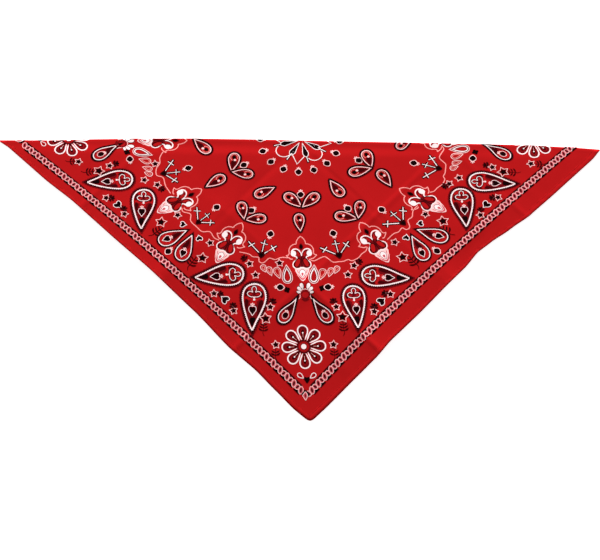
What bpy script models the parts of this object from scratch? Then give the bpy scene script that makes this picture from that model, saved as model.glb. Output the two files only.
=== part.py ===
"""A printed cotton bandana, folded once from corner to corner and laid flat with its tip forward.

The square of cloth is one wall that turns back on itself along the fold. A turned hem runs along each of
the square's four sides, a separate strip with a seam gap to the cloth. The half underneath lies flat on
the ground; the half on top carries the soft relief that the packing creases leave.

Cloth coordinates a and b run from 0 to 1 over one folded half: a from the tip towards the right corner,
b from the tip towards the left corner. The fold is the line where a + b = 1.

Units are metres. +X runs along the fold to the right, -Y points to the tip and +Z is up.
"""

import math

import bpy
from mathutils import Vector

# The square and how it lies.
CUT_SIDE = 0.55            # side of the square before it was folded
FOLD_LENGTH = 0.8052       # left corner to right corner
RIGHT_CORNER_DROP = 0.0107  # the right corner lies this much nearer the tip than the left one
TIP_ASIDE = 0.0155         # the tips lie this far right of the fold's middle
FRONT_REACH = 0.3656       # fold to the front half's corner, before the corner is rounded
BACK_REACH = 0.3716        # the same for the back half, which peeps out past the front one
TIP_ROUNDING = 0.0085      # length along each side that the tip's rounding takes
TIP_ROUNDING_DEPTH = 0.0026  # how far the rounding pulls the corner back

# Thicknesses and gaps.
WALL = 0.0010              # cloth wall
HEM_THICKNESS = 0.0013     # hem, where the cloth is turned over on itself
HEM_WIDTH = 0.0065
SEAM_GAP = 0.0003          # between a hem and the cloth, and between the halves at the hems

# Creases divide each side into equal parts.
CREASE_PARTS = 4
CREASE_SHOULDER = 0.011    # half the width of a crease, as a share of the side
STEPS_BETWEEN_CREASES = 4
FOLD_ARC_STEPS = 6
HEM_EDGE_FADE = 0.045      # how far into the cloth a dent in the side is felt, as a share of the side

# How far each side stands outside (+) or inside (-) the straight line from tip to corner.
# Columns: share of the way from the tip, millimetres.
LEFT_SIDE_BOW = (
    (0.00, 1.0), (0.05, 2.3), (0.11, 0.3), (0.18, -2.1), (0.26, -0.9), (0.38, -5.8), (0.53, -8.0),
    (0.65, -6.7), (0.77, -6.5), (0.86, -3.1), (0.97, -2.4), (1.00, 0.0),
)
RIGHT_SIDE_BOW = (
    (0.00, 0.5), (0.05, 0.4), (0.17, -1.4), (0.23, -2.3), (0.29, -5.4), (0.38, -5.5), (0.50, -7.7),
    (0.55, -8.0), (0.60, -11.3), (0.64, -9.0), (0.70, -3.8), (0.76, 0.6), (0.85, 2.4), (0.97, 3.7),
    (1.00, 1.8),
)
# How far the fold stands behind the straight line between the corners.
# Columns: share of the way from the left corner, millimetres.
FOLD_BOW = (
    (0.00, 0.0), (0.08, 0.5), (0.17, 3.1), (0.23, 4.6), (0.32, 5.6), (0.41, 5.5), (0.56, 4.5), (0.74, 3.7),
    (0.86, 2.9), (0.95, 1.0), (1.00, 0.0),
)

# Height of the front half above its resting level where the packing creases cross.
# Key: crease number towards the right, crease number towards the left. Value: millimetres.
CROSSING_HEIGHTS = {
    (0, 0): 0.8, (1, 0): 5.2, (2, 0): 3.2, (3, 0): 1.4,
    (0, 1): 0.9, (1, 1): 4.4, (2, 1): 2.0,
    (0, 2): 5.0, (1, 2): 2.2,
    (0, 3): 2.8,
}
# Height of the soft pillow in each facet between creases, keyed the same way.
PILLOW_HEIGHTS = {
    (0, 0): 0.7, (1, 0): 1.1, (2, 0): 1.4, (3, 0): 0.5,
    (0, 1): 1.0, (1, 1): 1.3, (2, 1): 0.8,
    (0, 2): 1.2, (1, 2): 0.9,
    (0, 3): 0.6,
}
# The pressed line itself stands up (+) or is pinched down (-) along each crease.
# Columns: which coordinate stays the same along it, crease number, millimetres at the hem, at the fold.
CREASE_LINES = (
    ("a", 1, 0.4, -0.2), ("a", 2, -0.3, -0.4), ("a", 3, 0.3, 0.2),
    ("b", 1, 0.3, 0.3), ("b", 2, -0.2, -0.3), ("b", 3, 0.3, 0.2),
)
FOLD_FLATTENING = 0.04     # share of the side over which the relief fades out at the fold

MILLIMETRE = 0.001
RED = (0.47, 0.010, 0.012, 1.0)
HEM_RED = (0.42, 0.008, 0.010, 1.0)


def smooth_between(table, share):
    """Read a two-column table at a share of its length, easing in and out between its rows."""
    for (low, low_value), (high, high_value) in zip(table, table[1:]):
        if share <= high:
            part = max(0.0, (share - low) / (high - low))
            eased = part * part * (3 - 2 * part)
            mixed = 0.5 * (part + eased)
            return low_value + (high_value - low_value) * mixed
    return table[-1][1]


def corners(reach):
    """Tip, right corner and left corner of one folded half, in the plane."""
    left = Vector((-FOLD_LENGTH / 2, RIGHT_CORNER_DROP / 2))
    right = Vector((FOLD_LENGTH / 2, -RIGHT_CORNER_DROP / 2))
    tip = Vector((TIP_ASIDE, -reach))
    return tip, right, left


def outward(start, end, inside):
    """Unit vector across the line from start to end, pointing away from the inside point."""
    along = (end - start).normalized()
    across = Vector((along.y, -along.x))
    if across.dot(inside - start) > 0:
        across = -across
    return across


def lay(a, b, reach):
    """Place a point of the cloth in the plane, with the sides bowed and the tip rounded."""
    tip, right, left = corners(reach)
    place = tip + a * (right - tip) + b * (left - tip)
    from_fold = 1 - a - b

    right_share = a / (1 - b) if b < 1 else 1.0
    right_bow = smooth_between(RIGHT_SIDE_BOW, right_share) * math.exp(-b / HEM_EDGE_FADE)
    place += outward(tip, right, left) * right_bow * MILLIMETRE

    left_share = b / (1 - a) if a < 1 else 1.0
    left_bow = smooth_between(LEFT_SIDE_BOW, left_share) * math.exp(-a / HEM_EDGE_FADE)
    place += outward(tip, left, right) * left_bow * MILLIMETRE

    fold_share = a / (a + b) if a + b > 0 else 0.5
    fold_bow = smooth_between(FOLD_BOW, fold_share) * (1 - from_fold) ** 2
    place += outward(left, right, tip) * fold_bow * MILLIMETRE

    rounding = max(0.0, 1 - (a + b) * CUT_SIDE / TIP_ROUNDING)
    backward = ((right + left) / 2 - tip).normalized()
    return place + backward * TIP_ROUNDING_DEPTH * rounding * rounding


def relief(a, b):
    """Height of the front half above its resting level at a point of the cloth."""
    column = min(int(a * CREASE_PARTS), CREASE_PARTS - 1)
    row = min(int(b * CREASE_PARTS), CREASE_PARTS - 1)
    across = a * CREASE_PARTS - column
    along = b * CREASE_PARTS - row
    near = CROSSING_HEIGHTS.get((column, row), 0.0)
    right = CROSSING_HEIGHTS.get((column + 1, row), 0.0)
    left = CROSSING_HEIGHTS.get((column, row + 1), 0.0)
    far = CROSSING_HEIGHTS.get((column + 1, row + 1), 0.0)
    if column + row == CREASE_PARTS - 1:
        height = near * max(0.0, 1 - across - along)
    else:
        height = near * (1 - across) * (1 - along) + right * across * (1 - along)
        height += left * (1 - across) * along + far * across * along
    pillow = PILLOW_HEIGHTS.get((column, row), 0.0)
    height += pillow * math.sin(math.pi * across) * math.sin(math.pi * along)
    for kept, number, at_hem, at_fold in CREASE_LINES:
        crease = number / CREASE_PARTS
        beside, run = (a, b) if kept == "a" else (b, a)
        closeness = max(0.0, 1 - abs(beside - crease) / CREASE_SHOULDER)
        height += closeness * (at_hem + (at_fold - at_hem) * run / (1 - crease))
    to_fold = min(1.0, max(0.0, (1 - a - b) / FOLD_FLATTENING))
    return height * MILLIMETRE * to_fold * to_fold * (3 - 2 * to_fold)


def stations(first, last):
    """Shares of a side at which the wall has rows, close together at each crease."""
    rows = [first]
    for part in range(CREASE_PARTS):
        start = part / CREASE_PARTS + CREASE_SHOULDER if part else first
        end = (part + 1) / CREASE_PARTS - CREASE_SHOULDER if part < CREASE_PARTS - 1 else last
        for step in range(1, STEPS_BETWEEN_CREASES + 1):
            rows.append(start + (end - start) * step / STEPS_BETWEEN_CREASES)
        if part < CREASE_PARTS - 1:
            crease = (part + 1) / CREASE_PARTS
            rows.append(crease)
            rows.append(crease + CREASE_SHOULDER)
    return rows


def front_level(a, b):
    """Height of the front half's lower face: it rests on the hem below, across the layer gap."""
    return HEM_THICKNESS + SEAM_GAP + relief(a, b)


def material(name, colour):
    """A plain cotton material."""
    cotton = bpy.data.materials.new(name)
    cotton.use_nodes = True
    shader = cotton.node_tree.nodes["Principled BSDF"]
    shader.inputs["Base Color"].default_value = colour
    shader.inputs["Roughness"].default_value = 0.9
    shader.inputs["Metallic"].default_value = 0.0
    cotton.diffuse_color = colour
    return cotton


def add_object(name, points, faces, cotton):
    """Make a named object from points and faces."""
    mesh = bpy.data.meshes.new(name)
    mesh.from_pydata(points, [], faces)
    mesh.materials.append(cotton)
    mesh.validate()
    mesh.shade_smooth()
    mesh.set_sharp_from_angle(angle=math.radians(40))
    piece = bpy.data.objects.new(name, mesh)
    bpy.context.scene.collection.objects.link(piece)
    return piece


def cloth_rows():
    """Rows of the folded wall as (outer point, inner point) pairs.

    The rows run across the fold from the front half to the back half. Row n of a half holds the cloth
    points with the n-th station as b, from the hem to the fold, so rows get shorter towards the left.
    """
    margin = (HEM_WIDTH + SEAM_GAP) / CUT_SIDE
    shares = stations(margin, 1 - margin)
    count = len(shares)
    front = {}
    back = {}
    for i in range(count):
        for j in range(count - i):
            a, b = shares[i], shares[j]
            place = lay(a, b, FRONT_REACH)
            level = front_level(a, b)
            front[i, j] = (Vector((place.x, place.y, level + WALL)), Vector((place.x, place.y, level)))
            place = lay(a, b, BACK_REACH)
            back[i, j] = (Vector((place.x, place.y, 0.0)), Vector((place.x, place.y, WALL)))
    return front, back, count


def fold_arc(front_pair, back_pair, step):
    """One (outer, inner) pair of points on the turn of the fold, between the front and the back half."""
    angle = math.pi * step / FOLD_ARC_STEPS
    pairs = []
    for top, bottom in zip(front_pair, back_pair):
        middle = (top + bottom) / 2
        radius = (top.z - bottom.z) / 2
        pairs.append(middle + Vector((0.0, radius * math.sin(angle), radius * math.cos(angle))))
    return tuple(pairs)


def build_cloth(cotton):
    """The folded square: front wall, turn and back wall as one closed solid."""
    front, back, count = cloth_rows()
    points = []
    index = {}

    def store(key, pair):
        index[key] = len(points)
        points.extend(pair)

    for (i, j), pair in front.items():
        store(("front", i, j), pair)
    for (i, j), pair in back.items():
        store(("back", i, j), pair)
    for i in range(count):
        j = count - 1 - i
        for step in range(1, FOLD_ARC_STEPS):
            store(("turn", step, i), fold_arc(front[i, j], back[i, j], step))

    sheet = []
    for half in ("front", "back"):
        for i in range(count - 1):
            for j in range(count - 1 - i):
                corner = [index[half, i, j], index[half, i + 1, j], index[half, i, j + 1]]
                sheet.append(corner if half == "front" else corner[::-1])
                if i + j < count - 2:
                    far = [index[half, i + 1, j], index[half, i + 1, j + 1], index[half, i, j + 1]]
                    sheet.append(far if half == "front" else far[::-1])
    for i in range(count - 1):
        rows = [[index["front", i + k, count - 1 - i - k]] for k in (0, 1)]
        for k in (0, 1):
            rows[k] += [index["turn", step, i + k] for step in range(1, FOLD_ARC_STEPS)]
            rows[k].append(index["back", i + k, count - 1 - i - k])
        for step in range(FOLD_ARC_STEPS):
            sheet.append([rows[0][step], rows[1][step], rows[1][step + 1], rows[0][step + 1]])
    return add_object("cloth", points, closed_wall(sheet), cotton)


def closed_wall(sheet):
    """Faces of a closed wall from the faces of its outer skin; each inner point follows its outer one."""
    edges = {}
    for face in sheet:
        for start, end in zip(face, face[1:] + face[:1]):
            edges[start, end] = True
    faces = [list(face) for face in sheet]
    faces += [[corner + 1 for corner in reversed(face)] for face in sheet]
    for start, end in edges:
        if (end, start) not in edges:
            faces.append([end, start, start + 1, end + 1])
    return faces


def hem_section(outer, inner, low, high):
    """Six points round a hem: flat below, rounded at the folded outer edge, dropping to the cloth inside."""
    across = inner - outer
    rise = high - low
    profile = (
        (0.06, 0.0), (1.0, 0.0), (1.0, 0.80), (0.72, 1.0), (0.16, 1.0), (0.0, 0.5),
    )
    return [
        Vector((outer.x + across.x * share, outer.y + across.y * share, low + rise * height))
        for share, height in profile
    ]


def build_hem(name, side, reach, cotton):
    """One turned hem as a strip along a side, mitred at the tip and ending at the fold."""
    width = HEM_WIDTH / CUT_SIDE
    mitre_gap = SEAM_GAP / CUT_SIDE
    on_front = reach == FRONT_REACH
    points = []
    faces = []
    shares = stations(0.0, 1.0)
    for share in shares:
        outer_share = mitre_gap + (1 - 2 * mitre_gap) * share
        inner_share = width + mitre_gap + (1 - 2 * width - 2 * mitre_gap) * share
        if side == "right":
            outer_ab, inner_ab = (outer_share, 0.0), (inner_share, width)
        else:
            outer_ab, inner_ab = (0.0, outer_share), (width, inner_share)
        outer = lay(*outer_ab, reach)
        inner = lay(*inner_ab, reach)
        low = front_level(*outer_ab) if on_front else 0.0
        points += hem_section(outer, inner, low, low + HEM_THICKNESS)
    ring = len(points) // len(shares)
    for row in range(len(shares) - 1):
        for corner in range(ring):
            after = (corner + 1) % ring
            here, there = row * ring, (row + 1) * ring
            faces.append([here + corner, there + corner, there + after, here + after])
    faces.append(list(range(ring)))
    faces.append([len(points) - 1 - corner for corner in range(ring)])
    if side == "right":
        faces = [face[::-1] for face in faces]
    return add_object(name, points, faces, cotton)


def centre_on_origin(pieces):
    """Move all meshes together so that the whole stands centred on the origin, its base at zero."""
    everything = [vertex.co for piece in pieces for vertex in piece.data.vertices]
    middle_x = (min(p.x for p in everything) + max(p.x for p in everything)) / 2
    middle_y = (min(p.y for p in everything) + max(p.y for p in everything)) / 2
    lowest = min(p.z for p in everything)
    for piece in pieces:
        for vertex in piece.data.vertices:
            vertex.co -= Vector((middle_x, middle_y, lowest))


def main():
    for leftover in list(bpy.data.objects):
        bpy.data.objects.remove(leftover, do_unlink=True)
    cloth_red = material("cotton_red", RED)
    hem_red = material("hem_red", HEM_RED)
    pieces = [
        build_cloth(cloth_red),
        build_hem("hem_front_left", "left", FRONT_REACH, hem_red),
        build_hem("hem_front_right", "right", FRONT_REACH, hem_red),
        build_hem("hem_back_left", "left", BACK_REACH, hem_red),
        build_hem("hem_back_right", "right", BACK_REACH, hem_red),
    ]
    centre_on_origin(pieces)


main()
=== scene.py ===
"""A red cotton bandana with a paisley print, folded once along its diagonal and laid flat.

The cloth is one thin square that turns back on itself at the fold. Four turned and stitched hems run along
its sides. The print is ink on the outer face of the whole square: a chain border, rosettes and paisleys in
the corners, a ring of lilies and stick fans, drops in the field and a spearhead medallion in the middle.
The front half shows all of one side of the print; the rest of it goes over the fold to the underside.

Lengths are in metres, except in the print, which is drawn in print units of about a millimetre and a half.
"""

import logging
import math
from dataclasses import dataclass, field, replace
from enum import Enum
from functools import cache
from typing import ClassVar

import bmesh
import bpy
import numpy as np
from bpy.types import ID, Material, Mesh, Node, NodeSocket, NodeTree, Object
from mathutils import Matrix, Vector
from mathutils.geometry import delaunay_2d_cdt


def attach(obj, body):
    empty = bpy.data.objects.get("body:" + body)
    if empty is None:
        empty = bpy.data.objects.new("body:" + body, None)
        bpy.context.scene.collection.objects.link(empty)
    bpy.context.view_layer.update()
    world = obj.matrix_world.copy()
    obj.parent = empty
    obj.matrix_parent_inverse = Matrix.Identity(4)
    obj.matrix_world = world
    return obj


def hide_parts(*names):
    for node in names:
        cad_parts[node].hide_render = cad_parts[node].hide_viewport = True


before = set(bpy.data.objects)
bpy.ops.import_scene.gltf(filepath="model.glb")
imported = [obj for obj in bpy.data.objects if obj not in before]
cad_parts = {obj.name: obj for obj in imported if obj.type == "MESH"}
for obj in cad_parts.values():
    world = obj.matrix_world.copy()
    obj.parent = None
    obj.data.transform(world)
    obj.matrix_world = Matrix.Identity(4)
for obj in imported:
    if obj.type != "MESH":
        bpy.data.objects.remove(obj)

Array = np.ndarray
LOG = logging.getLogger("bandana")
MILLIMETRE = 0.001
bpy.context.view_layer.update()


# ---- How the cloth lies


@dataclass(frozen=True)
class SideBow:
    """How far a side of the folded cloth stands off the straight line between its ends."""

    shares: tuple[float, ...]
    millimetres: tuple[float, ...]

    def at(self, share: Array) -> Array:
        """Read the bow at shares of the side's length, eased between the rows.

        Args:
            share: places along the side, 0 at its start and 1 at its end.

        Returns:
            The bow in metres at each place.
        """
        rows = np.asarray(self.shares)
        values = np.asarray(self.millimetres)
        place = np.clip(share, 0.0, 1.0)
        row = np.clip(np.searchsorted(rows, place, side="left") - 1, 0, len(rows) - 2)
        part = (place - rows[row]) / (rows[row + 1] - rows[row])
        eased = part * part * (3 - 2 * part)
        mixed = 0.5 * (part + eased)
        return (values[row] + (values[row + 1] - values[row]) * mixed) * MILLIMETRE


@dataclass(frozen=True)
class Wrinkle:
    """A short soft ridge or trough on the half that shows."""

    x: float
    y: float
    bearing: float
    length: float
    width: float
    height: float


@dataclass(frozen=True)
class Lie:
    """The folded square as it lies: its outline, its two halves and the relief of its creases."""

    cut_side: float = 0.55
    fold_length: float = 0.8052
    right_corner_drop: float = 0.0107
    tip_aside: float = 0.0155
    front_reach: float = 0.3694
    back_reach: float = 0.3716
    tip_rounding: float = 0.0085
    tip_rounding_depth: float = 0.0026
    edge_fade: float = 0.045
    outline_steps: int = 400
    base: float = 0.0002
    wall: float = 0.00035
    front_top: float = 0.0026
    hem_thickness: float = 0.0013
    hem_sink: float = 0.001
    crease_parts: int = 4
    crease_shoulder: float = 0.011
    fold_flattening: float = 0.04
    softening: float = 0.0035
    left_bow: SideBow = SideBow(
        (0.00, 0.05, 0.11, 0.18, 0.26, 0.38, 0.53, 0.65, 0.77, 0.86, 0.97, 1.00),
        (1.4, 2.7, 0.7, -1.7, -0.5, -5.4, -7.6, -6.3, -6.1, -2.7, -2.0, 0.2),
    )
    right_bow: SideBow = SideBow(
        (0.00, 0.05, 0.17, 0.23, 0.29, 0.38, 0.50, 0.55, 0.60, 0.64, 0.70, 0.76, 0.85, 0.97, 1.00),
        (1.0, 1.3, -0.5, -1.4, -4.5, -4.6, -6.8, -7.1, -10.3, -8.0, -2.8, 1.8, 3.5, 4.8, 2.8),
    )
    fold_bow: SideBow = SideBow(
        (0.00, 0.08, 0.17, 0.23, 0.32, 0.41, 0.56, 0.74, 0.86, 0.95, 1.00),
        (0.0, 0.5, 3.1, 4.6, 5.6, 5.5, 4.5, 3.7, 2.9, 1.0, 0.0),
    )
    # millimetres at the crossings of the creases and in the middle of the squares between them: a row for
    # each step towards the left corner, and in it one for each step towards the right corner
    crossings: tuple[tuple[float, ...], ...] = ((0.8, 5.2, 3.2, 1.4), (0.9, 4.4, 2.0), (5.0, 2.2), (2.8,))
    pillows: tuple[tuple[float, ...], ...] = ((0.7, 1.1, 1.4, 0.5), (1.0, 1.3, 0.8), (1.2, 0.9), (0.6,))
    crease_lines: tuple[tuple[str, int, float, float], ...] = (
        ("a", 1, 0.4, -0.2), ("a", 2, -0.3, -0.4), ("a", 3, 0.3, 0.2),
        ("b", 1, 0.3, 0.3), ("b", 2, -0.2, -0.3), ("b", 3, 0.3, 0.2),
    )
    # creases that stand up as soft ridges: the share they keep, their number, millimetres at hem and fold
    ridges: tuple[tuple[str, int, float, float], ...] = (
        ("a", 1, 3.0, 0.7), ("a", 2, 2.8, 0.6), ("a", 3, 1.0, 0.3),
        ("b", 1, 1.2, 0.6), ("b", 2, 2.0, 0.6), ("b", 3, 0.8, 0.3),
    )
    ridge_reach: float = 0.05
    wrinkles: tuple[Wrinkle, ...] = (
        Wrinkle(-0.215, -0.075, 48, 0.055, 0.006, 0.00035),
        Wrinkle(-0.120, -0.165, -44, 0.040, 0.005, -0.00030),
        Wrinkle(0.010, -0.200, 41, 0.060, 0.007, 0.00040),
        Wrinkle(0.095, -0.105, -46, 0.070, 0.006, -0.00030),
        Wrinkle(0.235, -0.120, 43, 0.035, 0.006, 0.00060),
        Wrinkle(0.290, -0.045, -40, 0.045, 0.006, 0.00035),
        Wrinkle(-0.060, -0.050, 44, 0.060, 0.006, -0.00030),
        Wrinkle(0.050, -0.290, -45, 0.030, 0.005, 0.00030),
    )

    @property
    def turn_radius(self) -> float:
        """Radius of the cloth's outer face where it turns at the fold."""
        return (self.front_top - self.base) / 2

    def corners(self, reach: float) -> tuple[Array, Array, Array]:
        """Give the tip, right corner and left corner of one half.

        Args:
            reach: how far the tip lies from the fold.

        Returns:
            The three corners in the plane, before the whole is centred.
        """
        left = np.array((-self.fold_length / 2, self.right_corner_drop / 2))
        right = np.array((self.fold_length / 2, -self.right_corner_drop / 2))
        tip = np.array((self.tip_aside, -reach))
        return tip, right, left

    @staticmethod
    def outward(start: Array, end: Array, inside: Array) -> Array:
        """Give the unit vector across a line, pointing away from a point inside.

        Args:
            start: one end of the line.
            end: its other end.
            inside: a point on the cloth's side of the line.

        Returns:
            The unit vector.
        """
        along = (end - start) / np.linalg.norm(end - start)
        across = np.array((along[1], -along[0]))
        return -across if across @ (inside - start) > 0 else across

    def lay(self, a: Array, b: Array, reach: float) -> Array:
        """Place points of the cloth in the plane, with the sides bowed and the tip rounded.

        Args:
            a: shares from the tip towards the right corner.
            b: shares from the tip towards the left corner.
            reach: how far this half's tip lies from the fold.

        Returns:
            One row of x and y for each point.
        """
        tip, right, left = self.corners(reach)
        a = np.asarray(a, float)
        b = np.asarray(b, float)
        place = tip + a[..., None] * (right - tip) + b[..., None] * (left - tip)

        sides = ((a, b, self.right_bow, right, left), (b, a, self.left_bow, left, right))
        for run, aside, bow, corner, other in sides:
            share = np.where(aside < 1, run / np.maximum(1 - aside, 1e-9), 1.0)
            off = bow.at(share) * np.exp(-aside / self.edge_fade)
            place = place + self.outward(tip, corner, other) * off[..., None]

        both = a + b
        fold_share = np.where(both > 0, a / np.maximum(both, 1e-9), 0.5)
        fold_bow = self.fold_bow.at(fold_share) * both**2
        place = place + self.outward(left, right, tip) * fold_bow[..., None]

        rounding = np.maximum(0.0, 1 - both * self.cut_side / self.tip_rounding)
        backward = (right + left) / 2 - tip
        backward = backward / np.linalg.norm(backward)
        return place + backward * (self.tip_rounding_depth * rounding**2)[..., None]

    def shares_at(self, plane: Array) -> tuple[Array, Array]:
        """Find the cloth shares a and b of points in the plane of the front half.

        Args:
            plane: rows of x and y.

        Returns:
            The shares a and b.
        """
        tip, right, left = self.corners(self.front_reach)
        basis = np.stack((right - tip, left - tip), axis=1)
        shares = (plane - tip) @ np.linalg.inv(basis).T
        return shares[..., 0], shares[..., 1]

    def grid(self, rows: tuple[tuple[float, ...], ...]) -> Array:
        """Give a table of heights as a square grid in metres, zero at and past the fold.

        Args:
            rows: the table.

        Returns:
            The grid, by steps to the right corner and then to the left one.
        """
        grid = np.zeros((self.crease_parts + 2, self.crease_parts + 2))
        for number, row in enumerate(rows):
            grid[: len(row), number] = np.array(row) * MILLIMETRE
        return grid

    def facets(self, a: Array, b: Array) -> Array:
        """Height of the flat facets and their pillows, with hard edges at the creases.

        Args:
            a: shares towards the right corner.
            b: shares towards the left corner.

        Returns:
            Heights in metres.
        """
        parts = self.crease_parts
        grid = self.grid(self.crossings)
        column = np.clip((a * parts).astype(int), 0, parts - 1)
        row = np.clip((b * parts).astype(int), 0, parts - 1)
        across = a * parts - column
        along = b * parts - row
        near, right = grid[column, row], grid[column + 1, row]
        left, far = grid[column, row + 1], grid[column + 1, row + 1]
        square = near * (1 - across) * (1 - along) + right * across * (1 - along)
        square = square + left * (1 - across) * along + far * across * along
        triangle = near * np.maximum(0.0, 1 - across - along)
        height = np.where(column + row == parts - 1, triangle, square)
        pillow = self.grid(self.pillows)[column, row]
        swell_across, swell_along = (np.sin(math.pi * np.clip(part, 0, 1)) for part in (across, along))
        height = height + pillow * swell_across * swell_along
        for kept, number, at_hem, at_fold in self.ridges:
            crease = number / parts
            beside, run = (a, b) if kept == "a" else (b, a)
            share = np.clip(run / (1 - crease), 0.0, 1.0)
            ridge = np.exp(-np.abs(beside - crease) / self.ridge_reach)
            height = height + ridge * (at_hem + (at_fold - at_hem) * share) * MILLIMETRE
        return height

    def relief(self, plane: Array) -> Array:
        """Height of the front half above its resting level, softened across the creases.

        Args:
            plane: rows of x and y before the whole is centred.

        Returns:
            Heights in metres.
        """
        a, b = self.shares_at(plane)
        height = np.zeros_like(a)
        offsets = (-self.softening, 0.0, self.softening)
        weights = (0.25, 0.5, 0.25)
        for step_a, weight_a in zip(offsets, weights):
            for step_b, weight_b in zip(offsets, weights):
                height += weight_a * weight_b * self.facets(a + step_a, b + step_b)
        for kept, number, at_hem, at_fold in self.crease_lines:
            crease = number / self.crease_parts
            beside, run = (a, b) if kept == "a" else (b, a)
            nearness = np.maximum(0.0, 1 - ((beside - crease) / self.crease_shoulder) ** 2) ** 2
            height += nearness * (at_hem + (at_fold - at_hem) * run / (1 - crease)) * MILLIMETRE
        for fold in self.wrinkles:
            angle = math.radians(fold.bearing)
            east = plane[..., 0] - fold.x
            north = plane[..., 1] - fold.y
            run = east * math.cos(angle) + north * math.sin(angle)
            beside = north * math.cos(angle) - east * math.sin(angle)
            height += fold.height * np.exp(-((run / fold.length) ** 2) - (beside / fold.width) ** 2)
        to_fold = np.clip((1 - a - b) / self.fold_flattening, 0.0, 1.0)
        return height * to_fold**2 * (3 - 2 * to_fold)

    def fold_line(self, x: Array) -> Array:
        """Give the y of the line where the cloth starts to turn, for places along it.

        Args:
            x: places along the fold, before the whole is centred.

        Returns:
            The y of the fold line at each.
        """
        share = np.clip((x + self.fold_length / 2) / self.fold_length, 0.0, 1.0)
        straight = self.right_corner_drop * (0.5 - share)
        return straight + self.fold_bow.at(share)

    def drape(self, x: Array, past: Array, lift: Array) -> Array:
        """Lay points of the outer face over the fold.

        Args:
            x: places along the fold.
            past: distance past the fold line on the flat cloth; it is negative on the front half.
            lift: how far each point stands off the cloth.

        Returns:
            Rows of x, y and z on the cloth's outer face, before the whole is centred.
        """
        radius = self.turn_radius
        line = self.fold_line(x)
        turn = np.clip(past / radius, 0.0, math.pi)
        y = line + np.minimum(past, 0.0) + radius * np.sin(turn)
        y = y - np.maximum(past - math.pi * radius, 0.0) + lift * np.sin(turn)
        z = self.base + radius + (radius + lift) * np.cos(turn)
        on_front = past < 0
        z = np.where(on_front, z + self.relief(np.stack((x, y), axis=-1)), z)
        return np.stack((x, y, z), axis=-1)

    @property
    def centre(self) -> Array:
        """Middle of the outline's box, which stands on the frame's origin."""
        return _outline_centre(self)


@cache
def _outline_centre(lie: Lie) -> Array:
    """Work out the middle of the box round both halves and the turn of the fold.

    Args:
        lie: the folded cloth.

    Returns:
        The middle's x, y and z, with z at the base.
    """
    share = np.linspace(0.0, 1.0, lie.outline_steps)
    none = np.zeros_like(share)
    sides = [lie.lay(share, none, lie.back_reach), lie.lay(none, share, lie.back_reach)]
    fold = lie.lay(share, 1 - share, lie.front_reach) + np.array((0.0, lie.turn_radius))
    outline = np.concatenate([*sides, fold])
    low, high = outline.min(axis=0), outline.max(axis=0)
    return np.array((*(low + high) / 2, 0.0))


# ---- Finishes


def set_inputs(node: Node, values: dict[str, float | tuple[float, ...]]) -> None:
    """Set a node's own inputs by name."""
    for name, value in values.items():
        node.inputs[name].default_value = value


def math_node(tree: NodeTree, operation: str, *values: NodeSocket | float) -> NodeSocket:
    """Add a Math node.

    Args:
        tree: the material's node tree.
        operation: what it does.
        values: what it works on, each a number or another node's output.

    Returns:
        Its result.
    """
    node = tree.nodes.new("ShaderNodeMath")
    node.operation = operation
    for socket, value in zip(node.inputs, values):
        if isinstance(value, float):
            socket.default_value = value
        else:
            tree.links.new(value, socket)
    return node.outputs["Value"]


@dataclass(frozen=True)
class Weave:
    """The plain weave that shows through the dye and through the ink."""

    thread_pitch: float = 0.00045
    turn: float = 43.0
    bands: float = 20.0
    unevenness: float = 0.4
    strength: float = 0.12
    depth: float = 0.00006

    def bump(self, tree: NodeTree, place: NodeSocket) -> NodeSocket:
        """Add the nodes of the two thread directions and a bump from them.

        Args:
            tree: the material's node tree.
            place: the object coordinates.

        Returns:
            The normal output of the bump.
        """
        turned = tree.nodes.new("ShaderNodeMapping")
        set_inputs(turned, {"Rotation": (0.0, 0.0, math.radians(self.turn))})
        tree.links.new(place, turned.inputs["Vector"])
        threads = []
        for direction in ("X", "Y"):
            wave = tree.nodes.new("ShaderNodeTexWave")
            wave.bands_direction = direction
            scale = 1.0 / (self.thread_pitch * self.bands)
            set_inputs(wave, {"Scale": scale, "Distortion": self.unevenness})
            tree.links.new(turned.outputs["Vector"], wave.inputs["Vector"])
            threads.append(wave.outputs["Fac"])
        bump = tree.nodes.new("ShaderNodeBump")
        set_inputs(bump, {"Strength": self.strength, "Distance": self.depth})
        tree.links.new(math_node(tree, "MULTIPLY", *threads), bump.inputs["Height"])
        return bump.outputs["Normal"]


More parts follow.
